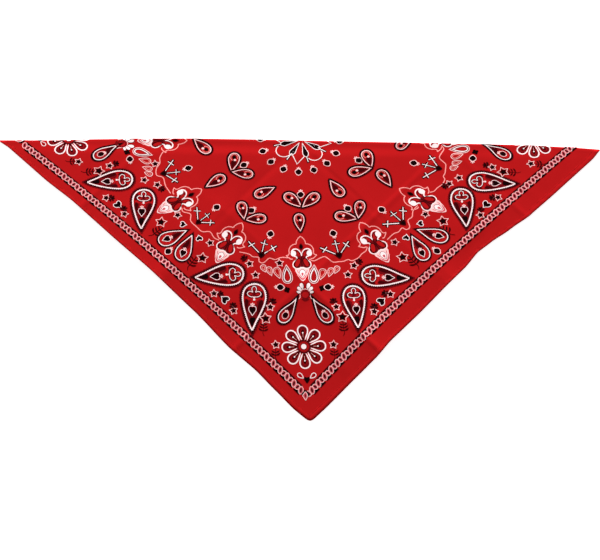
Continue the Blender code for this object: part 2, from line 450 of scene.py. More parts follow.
@dataclass(frozen=True)
class Finish:
    """A cotton surface: its colour, how uneven that colour is, and its sheen."""

    name: str
    colour: tuple[float, float, float]
    shade: tuple[float, float, float]
    mottle_size: float = 0.02
    mottle: float = 0.5
    roughness: float = 0.9
    gloss: float = 0.06
    sheen: float = 0.02
    broad_detail: float = 3.0
    fine_detail: float = 2.0
    fineness: float = 12.0
    fine_share: float = 0.4
    weave: Weave = field(default_factory=Weave)

    def material(self) -> Material:
        """Build the material, once for each name.

        Returns:
            The material.
        """
        made = bpy.data.materials.get(self.name)
        if made:
            return made
        made = bpy.data.materials.new(self.name)
        made.use_nodes = True
        tree = made.node_tree
        shader = tree.nodes["Principled BSDF"]
        look = {"Roughness": self.roughness, "Specular IOR Level": self.gloss, "Sheen Weight": self.sheen}
        set_inputs(shader, look)
        place = tree.nodes.new("ShaderNodeTexCoord").outputs["Object"]
        broad = self.noise(tree, place, 1.0 / self.mottle_size, self.broad_detail)
        fine = self.noise(tree, place, self.fineness / self.mottle_size, self.fine_detail)
        lumps = math_node(tree, "MULTIPLY", broad, self.mottle)
        share = math_node(tree, "MULTIPLY_ADD", fine, self.fine_share, lumps)
        mix = tree.nodes.new("ShaderNodeMix")
        mix.data_type = "RGBA"
        mix.inputs["A"].default_value = (*self.colour, 1.0)
        mix.inputs["B"].default_value = (*self.shade, 1.0)
        tree.links.new(share, mix.inputs["Factor"])
        tree.links.new(mix.outputs["Result"], shader.inputs["Base Color"])
        tree.links.new(self.weave.bump(tree, place), shader.inputs["Normal"])
        made.diffuse_color = (*self.colour, 1.0)
        return made

    @staticmethod
    def noise(tree: NodeTree, place: NodeSocket, scale: float, detail: float) -> NodeSocket:
        """Add a noise texture.

        Args:
            tree: the material's node tree.
            place: the coordinates it reads.
            scale: how many lumps there are to a metre.
            detail: how many finer levels it has.

        Returns:
            The noise's value.
        """
        texture = tree.nodes.new("ShaderNodeTexNoise")
        set_inputs(texture, {"Scale": scale, "Detail": detail})
        tree.links.new(place, texture.inputs["Vector"])
        return texture.outputs["Fac"]


RED_COTTON = Finish("red_cotton", (0.467, 0.0058, 0.0070), (0.380, 0.0040, 0.0049))
HEM_COTTON = Finish("turned_red_cotton", (0.46, 0.0056, 0.0068), (0.38, 0.0039, 0.0048), 0.008)
RED_THREAD = Finish("red_thread", (0.36, 0.0070, 0.0075), (0.24, 0.0040, 0.0045), 0.002, sheen=0.05)


class Ink(Enum):
    """The inks of the print, in slot order; BARE leaves the red cloth showing."""

    BARE = -1
    WHITE = 0
    ROSE = 1
    BLACK = 2
    MAROON = 3
    DEEP = 4
    PINK = 5
    SALMON = 6

    def finish(self) -> Finish:
        """Give the finish of cotton under this ink.

        Returns:
            The finish.
        """
        dark = {"gloss": 0.0, "sheen": 0.0}
        return {
            Ink.WHITE: Finish("ink_white", (1.0, 0.84, 0.84), (0.94, 0.70, 0.71), 0.004, 0.3),
            Ink.ROSE: Finish("ink_rose", (1.0, 0.62, 0.61), (0.94, 0.50, 0.50), 0.004, 0.4),
            Ink.BLACK: Finish("ink_black", (0.004, 0.0012, 0.0015), (0.010, 0.002, 0.0025), 0.004, **dark),
            Ink.MAROON: Finish(
                "ink_maroon", (0.20, 0.0040, 0.0070), (0.12, 0.0025, 0.0045), 0.003, gloss=0.02, sheen=0.0
            ),
            Ink.PINK: Finish("ink_pink", (0.62, 0.10, 0.12), (0.50, 0.055, 0.075), 0.004, 0.4),
            Ink.SALMON: Finish("ink_salmon", (1.0, 0.36, 0.33), (0.92, 0.28, 0.27), 0.004, 0.4),
            Ink.DEEP: Finish("ink_deep", (0.060, 0.0022, 0.0035), (0.030, 0.0014, 0.0020), 0.003, **dark),
        }[self]


# ---- Drawing helpers for the print, in print units

Polygon = np.ndarray
Points = list[tuple[float, float]]
BARE, WHITE, ROSE, BLACK, MAROON, DEEP, PINK, SALMON = Ink


def smooth_loop(points: Points, steps: int = 6) -> Polygon:
    """Draw a smooth closed curve through points.

    Args:
        points: the points it passes through.
        steps: how many short sides each stretch gets.

    Returns:
        The curve as a polygon.
    """
    knots = np.asarray(points, float)
    before, after, beyond = np.roll(knots, 1, 0), np.roll(knots, -1, 0), np.roll(knots, -2, 0)
    rows = [_spline(before, knots, after, beyond, step / steps) for step in range(steps)]
    return np.stack(rows, axis=1).reshape(-1, 2)


def smooth_line(points: Points, steps: int = 6) -> Polygon:
    """Draw a smooth open curve through points.

    Args:
        points: the points it passes through, ends included.
        steps: how many short sides each stretch gets.

    Returns:
        The curve's points.
    """
    knots = np.asarray(points, float)
    padded = np.concatenate((knots[:1] * 2 - knots[1:2], knots, knots[-1:] * 2 - knots[-2:-1]))
    four = padded[:-3], padded[1:-2], padded[2:-1], padded[3:]
    rows = [_spline(*four, step / steps) for step in range(steps)]
    return np.concatenate((np.stack(rows, axis=1).reshape(-1, 2), knots[-1:]))


def _spline(before: Array, start: Array, end: Array, beyond: Array, t: float) -> Array:
    """Read a Catmull-Rom spline at one share of each stretch.

    Args:
        before: the knots before each stretch.
        start: the knots where the stretches start.
        end: the knots where they end.
        beyond: the knots after them.
        t: the share of the stretch.

    Returns:
        One point for each stretch.
    """
    pull = 0.5 * (end - before)
    push = 0.5 * (beyond - start)
    return (
        (2 * t**3 - 3 * t**2 + 1) * start
        + (t**3 - 2 * t**2 + t) * pull
        + (3 * t**2 - 2 * t**3) * end
        + (t**3 - t**2) * push
    )


def oval(x: float, y: float, wide: float, high: float, turn: float = 0.0, sides: int = 20) -> Polygon:
    """Draw an oval.

    Args:
        x: its middle across.
        y: its middle upwards.
        wide: half its width.
        high: half its height.
        turn: degrees it is turned to the left.
        sides: how many sides it has.

    Returns:
        The oval as a polygon.
    """
    angle = np.linspace(0, 2 * math.pi, sides, endpoint=False)
    shape = np.stack((wide * np.cos(angle), high * np.sin(angle)), axis=1)
    return turned(shape, turn) + (x, y)


def turned(shape: Polygon, degrees: float) -> Polygon:
    """Turn a shape to the left about the origin.

    Args:
        shape: its points.
        degrees: how far it turns.

    Returns:
        The turned points.
    """
    angle = math.radians(degrees)
    spin = np.array(((math.cos(angle), math.sin(angle)), (-math.sin(angle), math.cos(angle))))
    return shape @ spin


def mirrored(shape: Polygon) -> Polygon:
    """Mirror a shape left to right, keeping its points counter-clockwise."""
    return (shape * (-1.0, 1.0))[::-1]


def drop(length: float, width: float, bend: float = 0.0, fullness: float = 1.5, sides: int = 36) -> Polygon:
    """Draw a drop with its tip at the origin and its round end up.

    Args:
        length: tip to round end.
        width: across its widest place.
        bend: how far its tip is bent to the right.
        fullness: above 1 the tip is drawn out, and the more so the higher it is.
        sides: how many sides it has.

    Returns:
        The drop as a polygon.
    """
    angle = np.linspace(0, 2 * math.pi, sides, endpoint=False)
    up = length * (1 - np.cos(angle)) / 2
    across = np.sin(angle) * np.abs(np.sin(angle / 2)) ** fullness
    across = across / np.abs(across).max() * width / 2
    lean = bend * (1 - up / length) ** 2
    return np.stack((-across + lean, up), axis=1)[::-1]


def both_sides(half: Points) -> Points:
    """Give one side's points and then their mirror images on the way back."""
    return half + [(-x, y) for x, y in reversed(half) if x]


def grown(shape: Polygon, distance: float, reach: float = 2.5) -> Polygon:
    """Offset a polygon outwards, or inwards for a negative distance.

    Args:
        shape: a polygon.
        distance: how far each side moves.
        reach: the most that a sharp corner may stick out, in distances.

    Returns:
        The new polygon with the same number of points.
    """
    before = shape - np.roll(shape, 1, 0)
    after = np.roll(shape, -1, 0) - shape
    before /= np.linalg.norm(before, axis=1, keepdims=True) + 1e-12
    after /= np.linalg.norm(after, axis=1, keepdims=True) + 1e-12
    sign = 1.0 if signed_area(shape) > 0 else -1.0
    normal = np.stack((before[:, 1] + after[:, 1], -before[:, 0] - after[:, 0]), axis=1) * sign
    size = np.linalg.norm(normal, axis=1, keepdims=True)
    unit = normal / np.maximum(size, 1e-9)
    cosine = np.maximum(size / 2, 1 / reach)
    return shape + unit * distance / cosine


def signed_area(shape: Polygon) -> float:
    """Give a polygon's area, positive when its points run counter-clockwise."""
    after = np.roll(shape, -1, 0)
    return float(np.sum(shape[:, 0] * after[:, 1] - after[:, 0] * shape[:, 1]) / 2)


def ribbon(line: Polygon | Points, start_width: float, end_width: float | None = None) -> Polygon:
    """Draw a line as a narrow strip.

    Args:
        line: the points it follows.
        start_width: its width at its start.
        end_width: its width at its end, the same if left out.

    Returns:
        The strip as a polygon.
    """
    end_width = start_width if end_width is None else end_width
    line = np.asarray(line, float)
    run = np.gradient(line, axis=0)
    run /= np.linalg.norm(run, axis=1, keepdims=True) + 1e-12
    side = np.stack((-run[:, 1], run[:, 0]), axis=1)
    half = np.linspace(start_width, end_width, len(line))[:, None] / 2
    return np.concatenate((line - side * half, (line + side * half)[::-1]))


def star_shape(radius: float, inner: float, points: int = 5, turn: float = 0.0) -> Polygon:
    """Draw a star.

    Args:
        radius: middle to points.
        inner: middle to notches.
        points: how many points it has.
        turn: degrees it is turned to the left.

    Returns:
        The star as a polygon.
    """
    angle = math.pi / 2 + np.arange(2 * points) * math.pi / points
    size = np.where(np.arange(2 * points) % 2 == 0, radius, inner)
    return turned(np.stack((size * np.cos(angle), size * np.sin(angle)), axis=1), turn)


# rows of triangles lie this share of their size apart, and points this near, in print units, become one
ROW_PITCH = 0.87
MERGING = 1e-4


@dataclass
class Stamp:
    """One motif as areas of ink, painted one over the other, in print units."""

    inks: list[Ink] = field(default_factory=list)
    areas: list[Polygon] = field(default_factory=list)

    def paint(self, ink: Ink, *areas: Polygon) -> "Stamp":
        """Paint areas of one ink over what is there.

        Args:
            ink: the ink.
            areas: polygons in either direction.

        Returns:
            The stamp itself.
        """
        for area in areas:
            self.inks.append(ink)
            self.areas.append(area if signed_area(area) > 0 else area[::-1])
        return self

    def add(
        self, other: "Stamp", x: float = 0.0, y: float = 0.0, turn: float = 0.0, size: float = 1.0
    ) -> "Stamp":
        """Paint another stamp over this one.

        Args:
            other: the stamp to add.
            x: where its origin goes across.
            y: where its origin goes upwards.
            turn: degrees it is turned to the left.
            size: how much larger it is made.

        Returns:
            The stamp itself.
        """
        for ink, area in zip(other.inks, other.areas):
            self.paint(ink, turned(area, turn) * size + (x, y))
        return self

    def scaled(self, wide: float, high: float) -> "Stamp":
        """Give the stamp in another size.

        Args:
            wide: how much wider it is made.
            high: how much higher it is made.

        Returns:
            The new stamp.
        """
        return Stamp(list(self.inks), [area * (wide, high) for area in self.areas])

    def bands(self, rim: Polygon, *steps: tuple[Ink, float]) -> "Stamp":
        """Paint one outline again and again, each time grown by a distance.

        Args:
            rim: the outline.
            steps: the inks, each with how far the outline is grown for it.

        Returns:
            The stamp itself.
        """
        for ink, distance in steps:
            self.paint(ink, grown(rim, distance))
        return self

    def pair(self, ink: Ink, *areas: Polygon) -> "Stamp":
        """Paint areas and their mirror images.

        Args:
            ink: the ink.
            areas: polygons of the right half.

        Returns:
            The stamp itself.
        """
        for area in areas:
            self.paint(ink, area, mirrored(area))
        return self

    def cut(self, spacing: float) -> tuple[Array, Array, Array]:
        """Cut the painted areas into triangles that each have one ink.

        Args:
            spacing: the size of the triangles inside large areas.

        Returns:
            The points, the triangles and each triangle's ink number.
        """
        points: Points = []
        sides = []
        for area in self.areas:
            start, count = len(points), len(area)
            sides.extend((start + step, start + (step + 1) % count) for step in range(count))
            points.extend(map(tuple, area))
        everything = np.concatenate(self.areas)
        low, high = everything.min(axis=0), everything.max(axis=0)
        for row, y in enumerate(np.arange(low[1] + spacing / 2, high[1], spacing * ROW_PITCH)):
            for x in np.arange(low[0] + spacing / 2 * (1 + row % 2), high[0], spacing):
                points.append((x, y))
        cut = delaunay_2d_cdt([Vector(point) for point in points], sides, [], 0, MERGING, False)
        corners = np.array([tuple(point) for point in cut[0]])
        triangles = np.array(cut[2], int)
        middles = corners[triangles].mean(axis=1)
        numbers = np.full(len(triangles), BARE.value)
        for ink, area in zip(self.inks, self.areas):
            numbers[within(area, middles)] = ink.value
        kept = numbers != BARE.value
        return corners, triangles[kept], numbers[kept]


def within(area: Polygon, places: Array) -> Array:
    """Tell which places a polygon winds round to the left.

    Args:
        area: the polygon.
        places: rows of x and y.

    Returns:
        True for each place inside.
    """
    low, high = area.min(axis=0), area.max(axis=0)
    near = np.flatnonzero(np.all((places > low) & (places < high), axis=1))
    x, y = places[near, :1], places[near, 1:]
    start, end = area, np.roll(area, -1, 0)
    side = (end[:, 0] - start[:, 0]) * (y - start[:, 1]) - (x - start[:, 0]) * (end[:, 1] - start[:, 1])
    upward = (start[:, 1] <= y) & (end[:, 1] > y) & (side > 0)
    downward = (start[:, 1] > y) & (end[:, 1] <= y) & (side < 0)
    turns = upward.sum(axis=1) - downward.sum(axis=1)
    result = np.zeros(len(places), bool)
    result[near[turns > 0]] = True
    return result


# ---- The motifs, drawn in print units of about a millimetre and a half; "up" is the way the motif points

@cache
def seed() -> Stamp:
    """A black seed in a thin white rim with a small crown at its upper end.

    Returns:
        The motif as a stamp.
    """
    kernel = smooth_loop(both_sides([(0, 2.6), (1.5, 1.7), (2.6, 0.2), (1.9, -1.8), (0, -3.1)]))
    rim = smooth_loop(both_sides([(0, 4.0), (1.3, 2.9), (2.5, 1.7), (3.15, 0.2), (2.3, -2.2), (0, -3.9)]))
    crown = [oval(x, y, 0.5, 0.5, sides=12) for x, y in ((-1.2, 3.7), (0, 4.5), (1.2, 3.7))]
    return Stamp().paint(ROSE, *crown, rim).paint(BLACK, kernel).scaled(1.04, 1.04)


@cache
def small_drop(bend: float = 0.0) -> Stamp:
    """A small drop with its tip at the origin and an eye near its round end.

    Args:
        bend: how far its tip is bent to the right.

    Returns:
        The motif as a stamp.
    """
    rim = drop(21.2, 10.7, bend, 1.2)
    stamp = Stamp().paint(MAROON, grown(rim, 2.1, 1.0)).paint(BLACK, grown(rim, 1.6, 1.0))
    stamp.paint(ROSE, rim)
    inside = grown(rim, -0.85)
    stamp.paint(MAROON, inside).paint(BARE, grown(inside, -0.8), oval(0.0, 15.4, 3.4, 4.4))
    streak = smooth_loop([
        (0.7 * bend, 3.6), (1.4, 7.4), (2.5, 10.6), (1.0, 12.9), (-1.0, 12.2), (-1.9, 10.0), (-1.1, 6.8),
    ])
    stamp.bands(streak, (MAROON, 0.5), (DEEP, 0.0))
    arc = [(-1.4, 12.6), (-3.0, 14.4), (-3.2, 17.0), (-1.5, 19.2), (1.2, 19.2), (3.0, 17.2), (2.9, 15.0)]
    stamp.paint(SALMON, ribbon(smooth_line(arc), 0.5, 0.35))
    stamp.paint(BLACK, oval(-0.2, 16.3, 1.7, 2.1))
    return stamp.paint(ROSE, oval(1.0, 13.4, 1.2, 1.2)).scaled(0.895, 0.91)


@cache
def spade(size: float = 1.0) -> Stamp:
    """A black spade in a thin rose rim, pointing down, with a crown of dots on its head.

    Args:
        size: how much larger it is made.

    Returns:
        The motif as a stamp.
    """
    leaf = both_sides([(0, -5.6), (1.7, -3.5), (3.7, -1.0), (4.5, 1.6), (3.6, 3.9), (1.6, 4.7), (0, 4.4)])
    kernel = both_sides([(0, -4.2), (1.6, -2.2), (3.0, 0.1), (3.1, 2.4), (1.8, 3.6), (0, 2.8)])
    stamp = Stamp().bands(smooth_loop(leaf) * size, (WHITE, 0.0), (MAROON, -0.6))
    stamp.paint(BLACK, smooth_loop(kernel) * size)
    for x, y, r in ((-1.5, 6.2, 0.8), (0, 7.0, 0.8), (1.5, 6.2, 0.8), (0, 5.2, 0.9)):
        stamp.paint(ROSE, oval(x * size, y * size, r * size, r * size, sides=12))
    return stamp


def trefoil() -> Stamp:
    """Three lobes in a thin rose rim on a short stem with a bead.

    Returns:
        The motif as a stamp.
    """
    shape = both_sides([
        (0, 7.0), (2.1, 5.8), (2.6, 3.6), (1.8, 1.6), (3.4, 2.3),
        (5.6, 1.9), (7.0, 0.0), (6.2, -2.0), (3.8, -3.4), (1.2, -3.6),
    ])
    stamp = Stamp().bands(smooth_loop(shape), (DEEP, 0.7), (WHITE, 0.0), (MAROON, -0.62))
    for x, y, wide, high in ((0, 4.3, 0.9, 1.5), (-3.8, -0.6, 2.0, 0.9), (3.8, -0.6, 2.0, 0.9)):
        stamp.paint(BARE, oval(x, y, wide, high, sides=12))
    stamp.paint(DEEP, ribbon([(0, 3.0), (0, -1.6)], 0.9))
    stamp.paint(ROSE, oval(0, -4.0, 1.1, 0.8, sides=12))
    return stamp.paint(WHITE, oval(0, -5.8, 1.1, 1.0, sides=14))


def outline_from_tip(points: Points) -> Polygon:
    """Draw a paisley outline that is sharp at the origin and smooth elsewhere."""
    return smooth_line([(0.0, 0.0), *points, (0.0, 0.0)], 5)[:-1]


@cache
def big_paisley() -> Stamp:
    """The big paisley: scalloped rim, trefoil at the round end and a spade towards its tip.

    Returns:
        The motif as a stamp.
    """
    rim = outline_from_tip([
        (1.9, 3.2), (4.6, 8.4), (8.0, 14.2), (11.4, 20.4),
        (14.2, 27.0), (15.4, 33.6), (13.9, 40.2), (9.9, 44.8),
        (3.9, 46.5), (-2.8, 45.0), (-7.6, 40.6), (-9.6, 34.0),
        (-9.2, 26.2), (-7.4, 17.8), (-4.9, 9.6), (-2.2, 3.2),
    ])
    stamp = Stamp().paint(MAROON, scalloped(grown(rim, 3.1), 3.0, 0.8))
    stamp.paint(DEEP, scalloped(grown(rim, 2.2), 2.4, 0.7)).paint(BLACK, grown(rim, 1.2))
    stamp.paint(WHITE, scalloped(rim, 1.9, 0.85))
    inside = grown(rim, -1.0)
    stamp.paint(MAROON, inside).paint(BARE, grown(inside, -0.7))
    stamp.paint(MAROON, smooth_loop([
        (0.8, 6.0), (4.4, 11.4), (7.8, 17.8), (10.8, 24.2),
        (11.8, 29.4), (8.6, 30.4), (5.2, 28.4), (0.4, 29.4),
        (-3.0, 29.8), (-6.4, 31.4), (-7.5, 27.0), (-6.2, 19.6), (-4.2, 12.4), (-1.4, 6.6),
    ]))
    right = [(6.0, 14.0), (9.4, 19.8), (11.9, 25.8), (11.9, 29.6), (8.8, 28.8), (6.6, 24.0), (5.8, 19.0)]
    left = [(-4.0, 12.6), (-5.9, 19.6), (-7.1, 27.0), (-6.2, 31.0), (-3.6, 29.0), (-4.4, 23.0), (-4.8, 17.0)]
    stamp.paint(DEEP, smooth_loop(right), smooth_loop(left))
    right = [(10.4, 31.6), (12.8, 34.6), (11.6, 39.0), (9.8, 37.6), (9.6, 33.6)]
    left = [(-6.6, 33.4), (-7.0, 37.6), (-3.6, 41.4), (-3.0, 38.6), (-4.8, 35.0)]
    stamp.paint(DEEP, smooth_loop(right, 4), smooth_loop(left, 4))
    gap = [(2.0, 24.6), (5.4, 26.4), (4.6, 29.0), (0.8, 29.4), (-2.0, 28.6), (-2.0, 25.8)]
    stamp.paint(BARE, smooth_loop(gap))
    tip = [(0.0, 3.0), (2.2, 7.6), (3.8, 11.6), (1.0, 12.6), (-2.0, 11.8), (-2.1, 7.6), (0.0, 3.0)]
    stamp.paint(BLACK, smooth_line(tip, 4)[:-1])
    stamp.add(trefoil(), 2.9, 36.6, -1.0, 1.08)
    return stamp.add(spade(0.97), 0.7, 19.6, -2.0).scaled(0.81, 0.91)


def scalloped(rim: Polygon, pitch: float, depth: float) -> Polygon:
    """Give an outline small scallops outwards.

    Args:
        rim: the outline, with its sharp tip as the first point.
        pitch: the length of one scallop.
        depth: how far each stands out.

    Returns:
        The scalloped outline.
    """
    closed = np.concatenate((rim, rim[:1]))
    run = np.concatenate(((0.0,), np.cumsum(np.linalg.norm(np.diff(closed, axis=0), axis=1))))
    count = max(1, round(run[-1] / pitch))
    places = np.linspace(0.0, run[-1], count * 4, endpoint=False)
    even = np.stack((np.interp(places, run, closed[:, 0]), np.interp(places, run, closed[:, 1])), axis=1)
    out = grown(even, 1.0) - even
    size = np.linalg.norm(out, axis=1, keepdims=True)
    wave = np.abs(np.sin(np.arange(len(places)) * math.pi / 4))[:, None]
    return even + out / np.maximum(size, 1e-9) * wave * depth


@cache
def side_paisley() -> Stamp:
    """The plain paisley of the pairs along the sides.

    Returns:
        The motif as a stamp.
    """
    rim = outline_from_tip([
        (1.8, 3.0), (5.0, 8.6), (8.4, 14.4), (10.5, 20.4),
        (10.2, 26.6), (7.0, 31.0), (2.0, 32.6), (-3.2, 31.2),
        (-6.6, 27.0), (-7.3, 21.2), (-5.8, 14.8), (-3.6, 8.6), (-1.5, 3.0),
    ])
    stamp = Stamp().bands(rim, (MAROON, 2.2), (BLACK, 1.6), (WHITE, 0.0), (MAROON, -1.0), (BARE, -1.7))
    stamp.paint(MAROON, smooth_loop([
        (0.6, 6.0), (4.0, 11.6), (6.4, 17.0), (4.2, 19.0), (0.0, 17.6), (-2.8, 15.0), (-1.8, 9.6),
    ]))
    streak = [(0.8, 6.6), (3.4, 11.6), (4.6, 16.6), (1.6, 17.4), (-0.8, 13.6), (-0.9, 9.6)]
    stamp.paint(DEEP, smooth_loop(streak))
    turned_spade = Stamp().add(spade(0.92), turn=180.0)
    return stamp.add(turned_spade, 1.4, 23.6).scaled(0.77, 0.875)


@cache
def rosette_paisley() -> Stamp:
    """The small paisley above a corner's rosette.

    Returns:
        The motif as a stamp.
    """
    rim = outline_from_tip([
        (0.9, 3.4), (2.9, 8.4), (5.8, 13.4), (7.9, 18.6), (7.8, 23.6), (4.6, 27.6), (-0.4, 28.7),
        (-5.4, 26.6), (-7.9, 22.0), (-7.4, 16.2), (-4.6, 9.8), (-1.6, 3.6),
    ])
    stamp = Stamp().bands(rim, (MAROON, 2.6), (BLACK, 2.0), (WHITE, 0.0), (MAROON, -1.0))
    stamp.paint(BARE, oval(0.1, 20.8, 5.8, 6.2))
    stamp.paint(DEEP, smooth_loop([
        (0.0, 5.0), (2.4, 9.6), (4.8, 14.4), (2.0, 15.8), (-1.8, 13.6), (-3.2, 10.8), (-1.4, 7.2),
    ]))
    stamp.paint(ROSE, oval(-0.1, 20.4, 4.1, 3.9)).paint(MAROON, oval(-0.1, 20.4, 3.5, 3.3))
    stamp.paint(BLACK, smooth_loop([
        (1.4, 17.8), (2.8, 19.6), (2.6, 21.6), (0.2, 23.0), (-2.4, 21.8), (-2.6, 19.4), (-0.8, 18.0),
    ]))
    for x, y in ((-0.6, 16.4), (1.0, 15.6), (2.6, 16.4)):
        stamp.paint(ROSE, oval(x, y, 0.85, 0.9, sides=12))
    return stamp.scaled(0.68, 0.92)


@cache
def star(radius: float = 4.4) -> Stamp:
    """A thin white star line round a fat black star.

    Args:
        radius: about how far its points reach.

    Returns:
        The motif as a stamp.
    """
    line = star_shape(radius * 1.08, radius * 0.60)
    core = star_shape(radius * 0.62, radius * 0.36, turn=3.0)
    stamp = Stamp().bands(line, (ROSE, 0.0), (BARE, -0.6)).paint(BLACK, core)
    return stamp.scaled(0.9, 0.9)


@cache
def sprig(pairs: int = 3) -> Stamp:
    """A dark sprig that grows up from the origin.

    Args:
        pairs: how many pairs of leaves it has.

    Returns:
        The motif as a stamp.
    """
    top = 4.4 + 3.0 * pairs
    stem = smooth_line([(1.3, -2.6), (-0.3, 0.6), (0.0, 4.0), (0.1, top)])
    stamp = Stamp().paint(DEEP, ribbon(stem, 0.5, 0.9))
    for step in range(pairs):
        y = 3.4 + 3.1 * step
        leaf = [(0.1, -0.2), (2.0, -0.6), (4.2, 0.5), (5.3, 2.6), (3.8, 2.1), (2.0, 1.2)]
        stamp.pair(DEEP, smooth_loop(leaf, 4) * (1 - 0.13 * step) + (0.0, y))
    return stamp.scaled(0.8, 0.8)


@cache
def tuft() -> Stamp:
    """A short dark tuft of leaves without a stem, its foot at the origin.

    Returns:
        The motif as a stamp.
    """
    stamp = Stamp().paint(DEEP, ribbon([(0, -0.6), (0, 5.0)], 0.9))
    for y, length, turn in ((-0.2, 4.4, 66.0), (1.9, 4.0, 50.0)):
        leaf = turned(oval(0, length / 2, 1.15, length / 2, sides=12), -turn) + (0.0, y)
        stamp.pair(DEEP, leaf)
    return stamp.paint(BLACK, oval(0, 3.4, 0.9, 2.2, sides=12)).scaled(0.88, 0.88)


@cache
def heart(size: float = 1.0) -> Stamp:
    """A black heart in a thin white rim, pointing up.

    Args:
        size: how much larger it is made.

    Returns:
        The motif as a stamp.
    """
    shape = both_sides([(0, 4.9), (1.5, 2.9), (3.5, 1.2), (4.3, -1.1), (3.3, -3.3), (1.1, -3.3), (0, -2.4)])
    return Stamp().bands(smooth_loop(shape) * size, (WHITE, 0.0), (BLACK, -0.62)).scaled(0.92, 0.92)


@cache
def rosette() -> Stamp:
    """The eight-petalled rosette.

    Returns:
        The motif as a stamp.
    """
    stamp = Stamp()
    side = [(-2.3, 7.4), (-4.1, 10.8), (-5.4, 14.6), (-5.3, 18.4), (-3.2, 21.2), (0, 22.1)]
    petal = smooth_loop([*both_sides(side), (0, 6.0)])
    edge = grown(petal, -1.3)
    throat = smooth_loop(both_sides([
        (0, 6.6), (-0.9, 7.4), (-1.7, 10.6), (-1.9, 13.4), (-1.4, 16.0), (0, 17.6),
    ]), 4)
    for number in range(8):
        stamp.paint(WHITE, turned(petal, 45.0 * number))
    for number in range(8):
        turn = 45.0 * number
        stamp.paint(BARE, turned(edge, turn))
        stamp.paint(MAROON, turned(scalloped(grown(petal, -1.8), 1.7, 0.4), turn))
        stamp.bands(turned(throat, turn), (BARE, 0.6), (DEEP, 0.0))
        stamp.paint(SALMON, turned(ribbon([(0, 9.4), (0, 13.4)], 0.45), turn))
        stamp.paint(WHITE, turned(oval(0, 14.0, 0.75, 0.85, sides=12), turn))
    eye = ((DEEP, 7.0, 36), (MAROON, 6.1, 32), (BARE, 4.9, 28), (MAROON, 3.5, 28), (WHITE, 2.6, 20))
    for ink, radius, sides in eye:
        stamp.paint(ink, oval(0, 0, radius, radius, sides=sides))
    return stamp.scaled(0.857, 0.857)


@cache
def rosette_foot() -> Stamp:
    """Two looped leaves and a dark seed, between the rosette and the corner.

    Returns:
        The motif as a stamp.
    """
    leaf = drop(7.6, 4.8, 0.0, 0.9)
    loop = Stamp().bands(leaf, (WHITE, 0.0), (BARE, -0.72))
    loop.paint(MAROON, oval(0, 4.8, 0.5, 1.1, sides=12))
    stamp = Stamp().add(loop, 3.0, 0.6, -50.0).add(loop, -3.0, 0.6, 50.0)
    kernel = smooth_loop(both_sides([(0, -3.8), (1.6, -1.9), (2.5, 0.2), (1.9, 1.7), (0, 1.2)]))
    return stamp.bands(kernel, (DEEP, 0.4), (BLACK, 0.0)).scaled(0.87, 0.84)


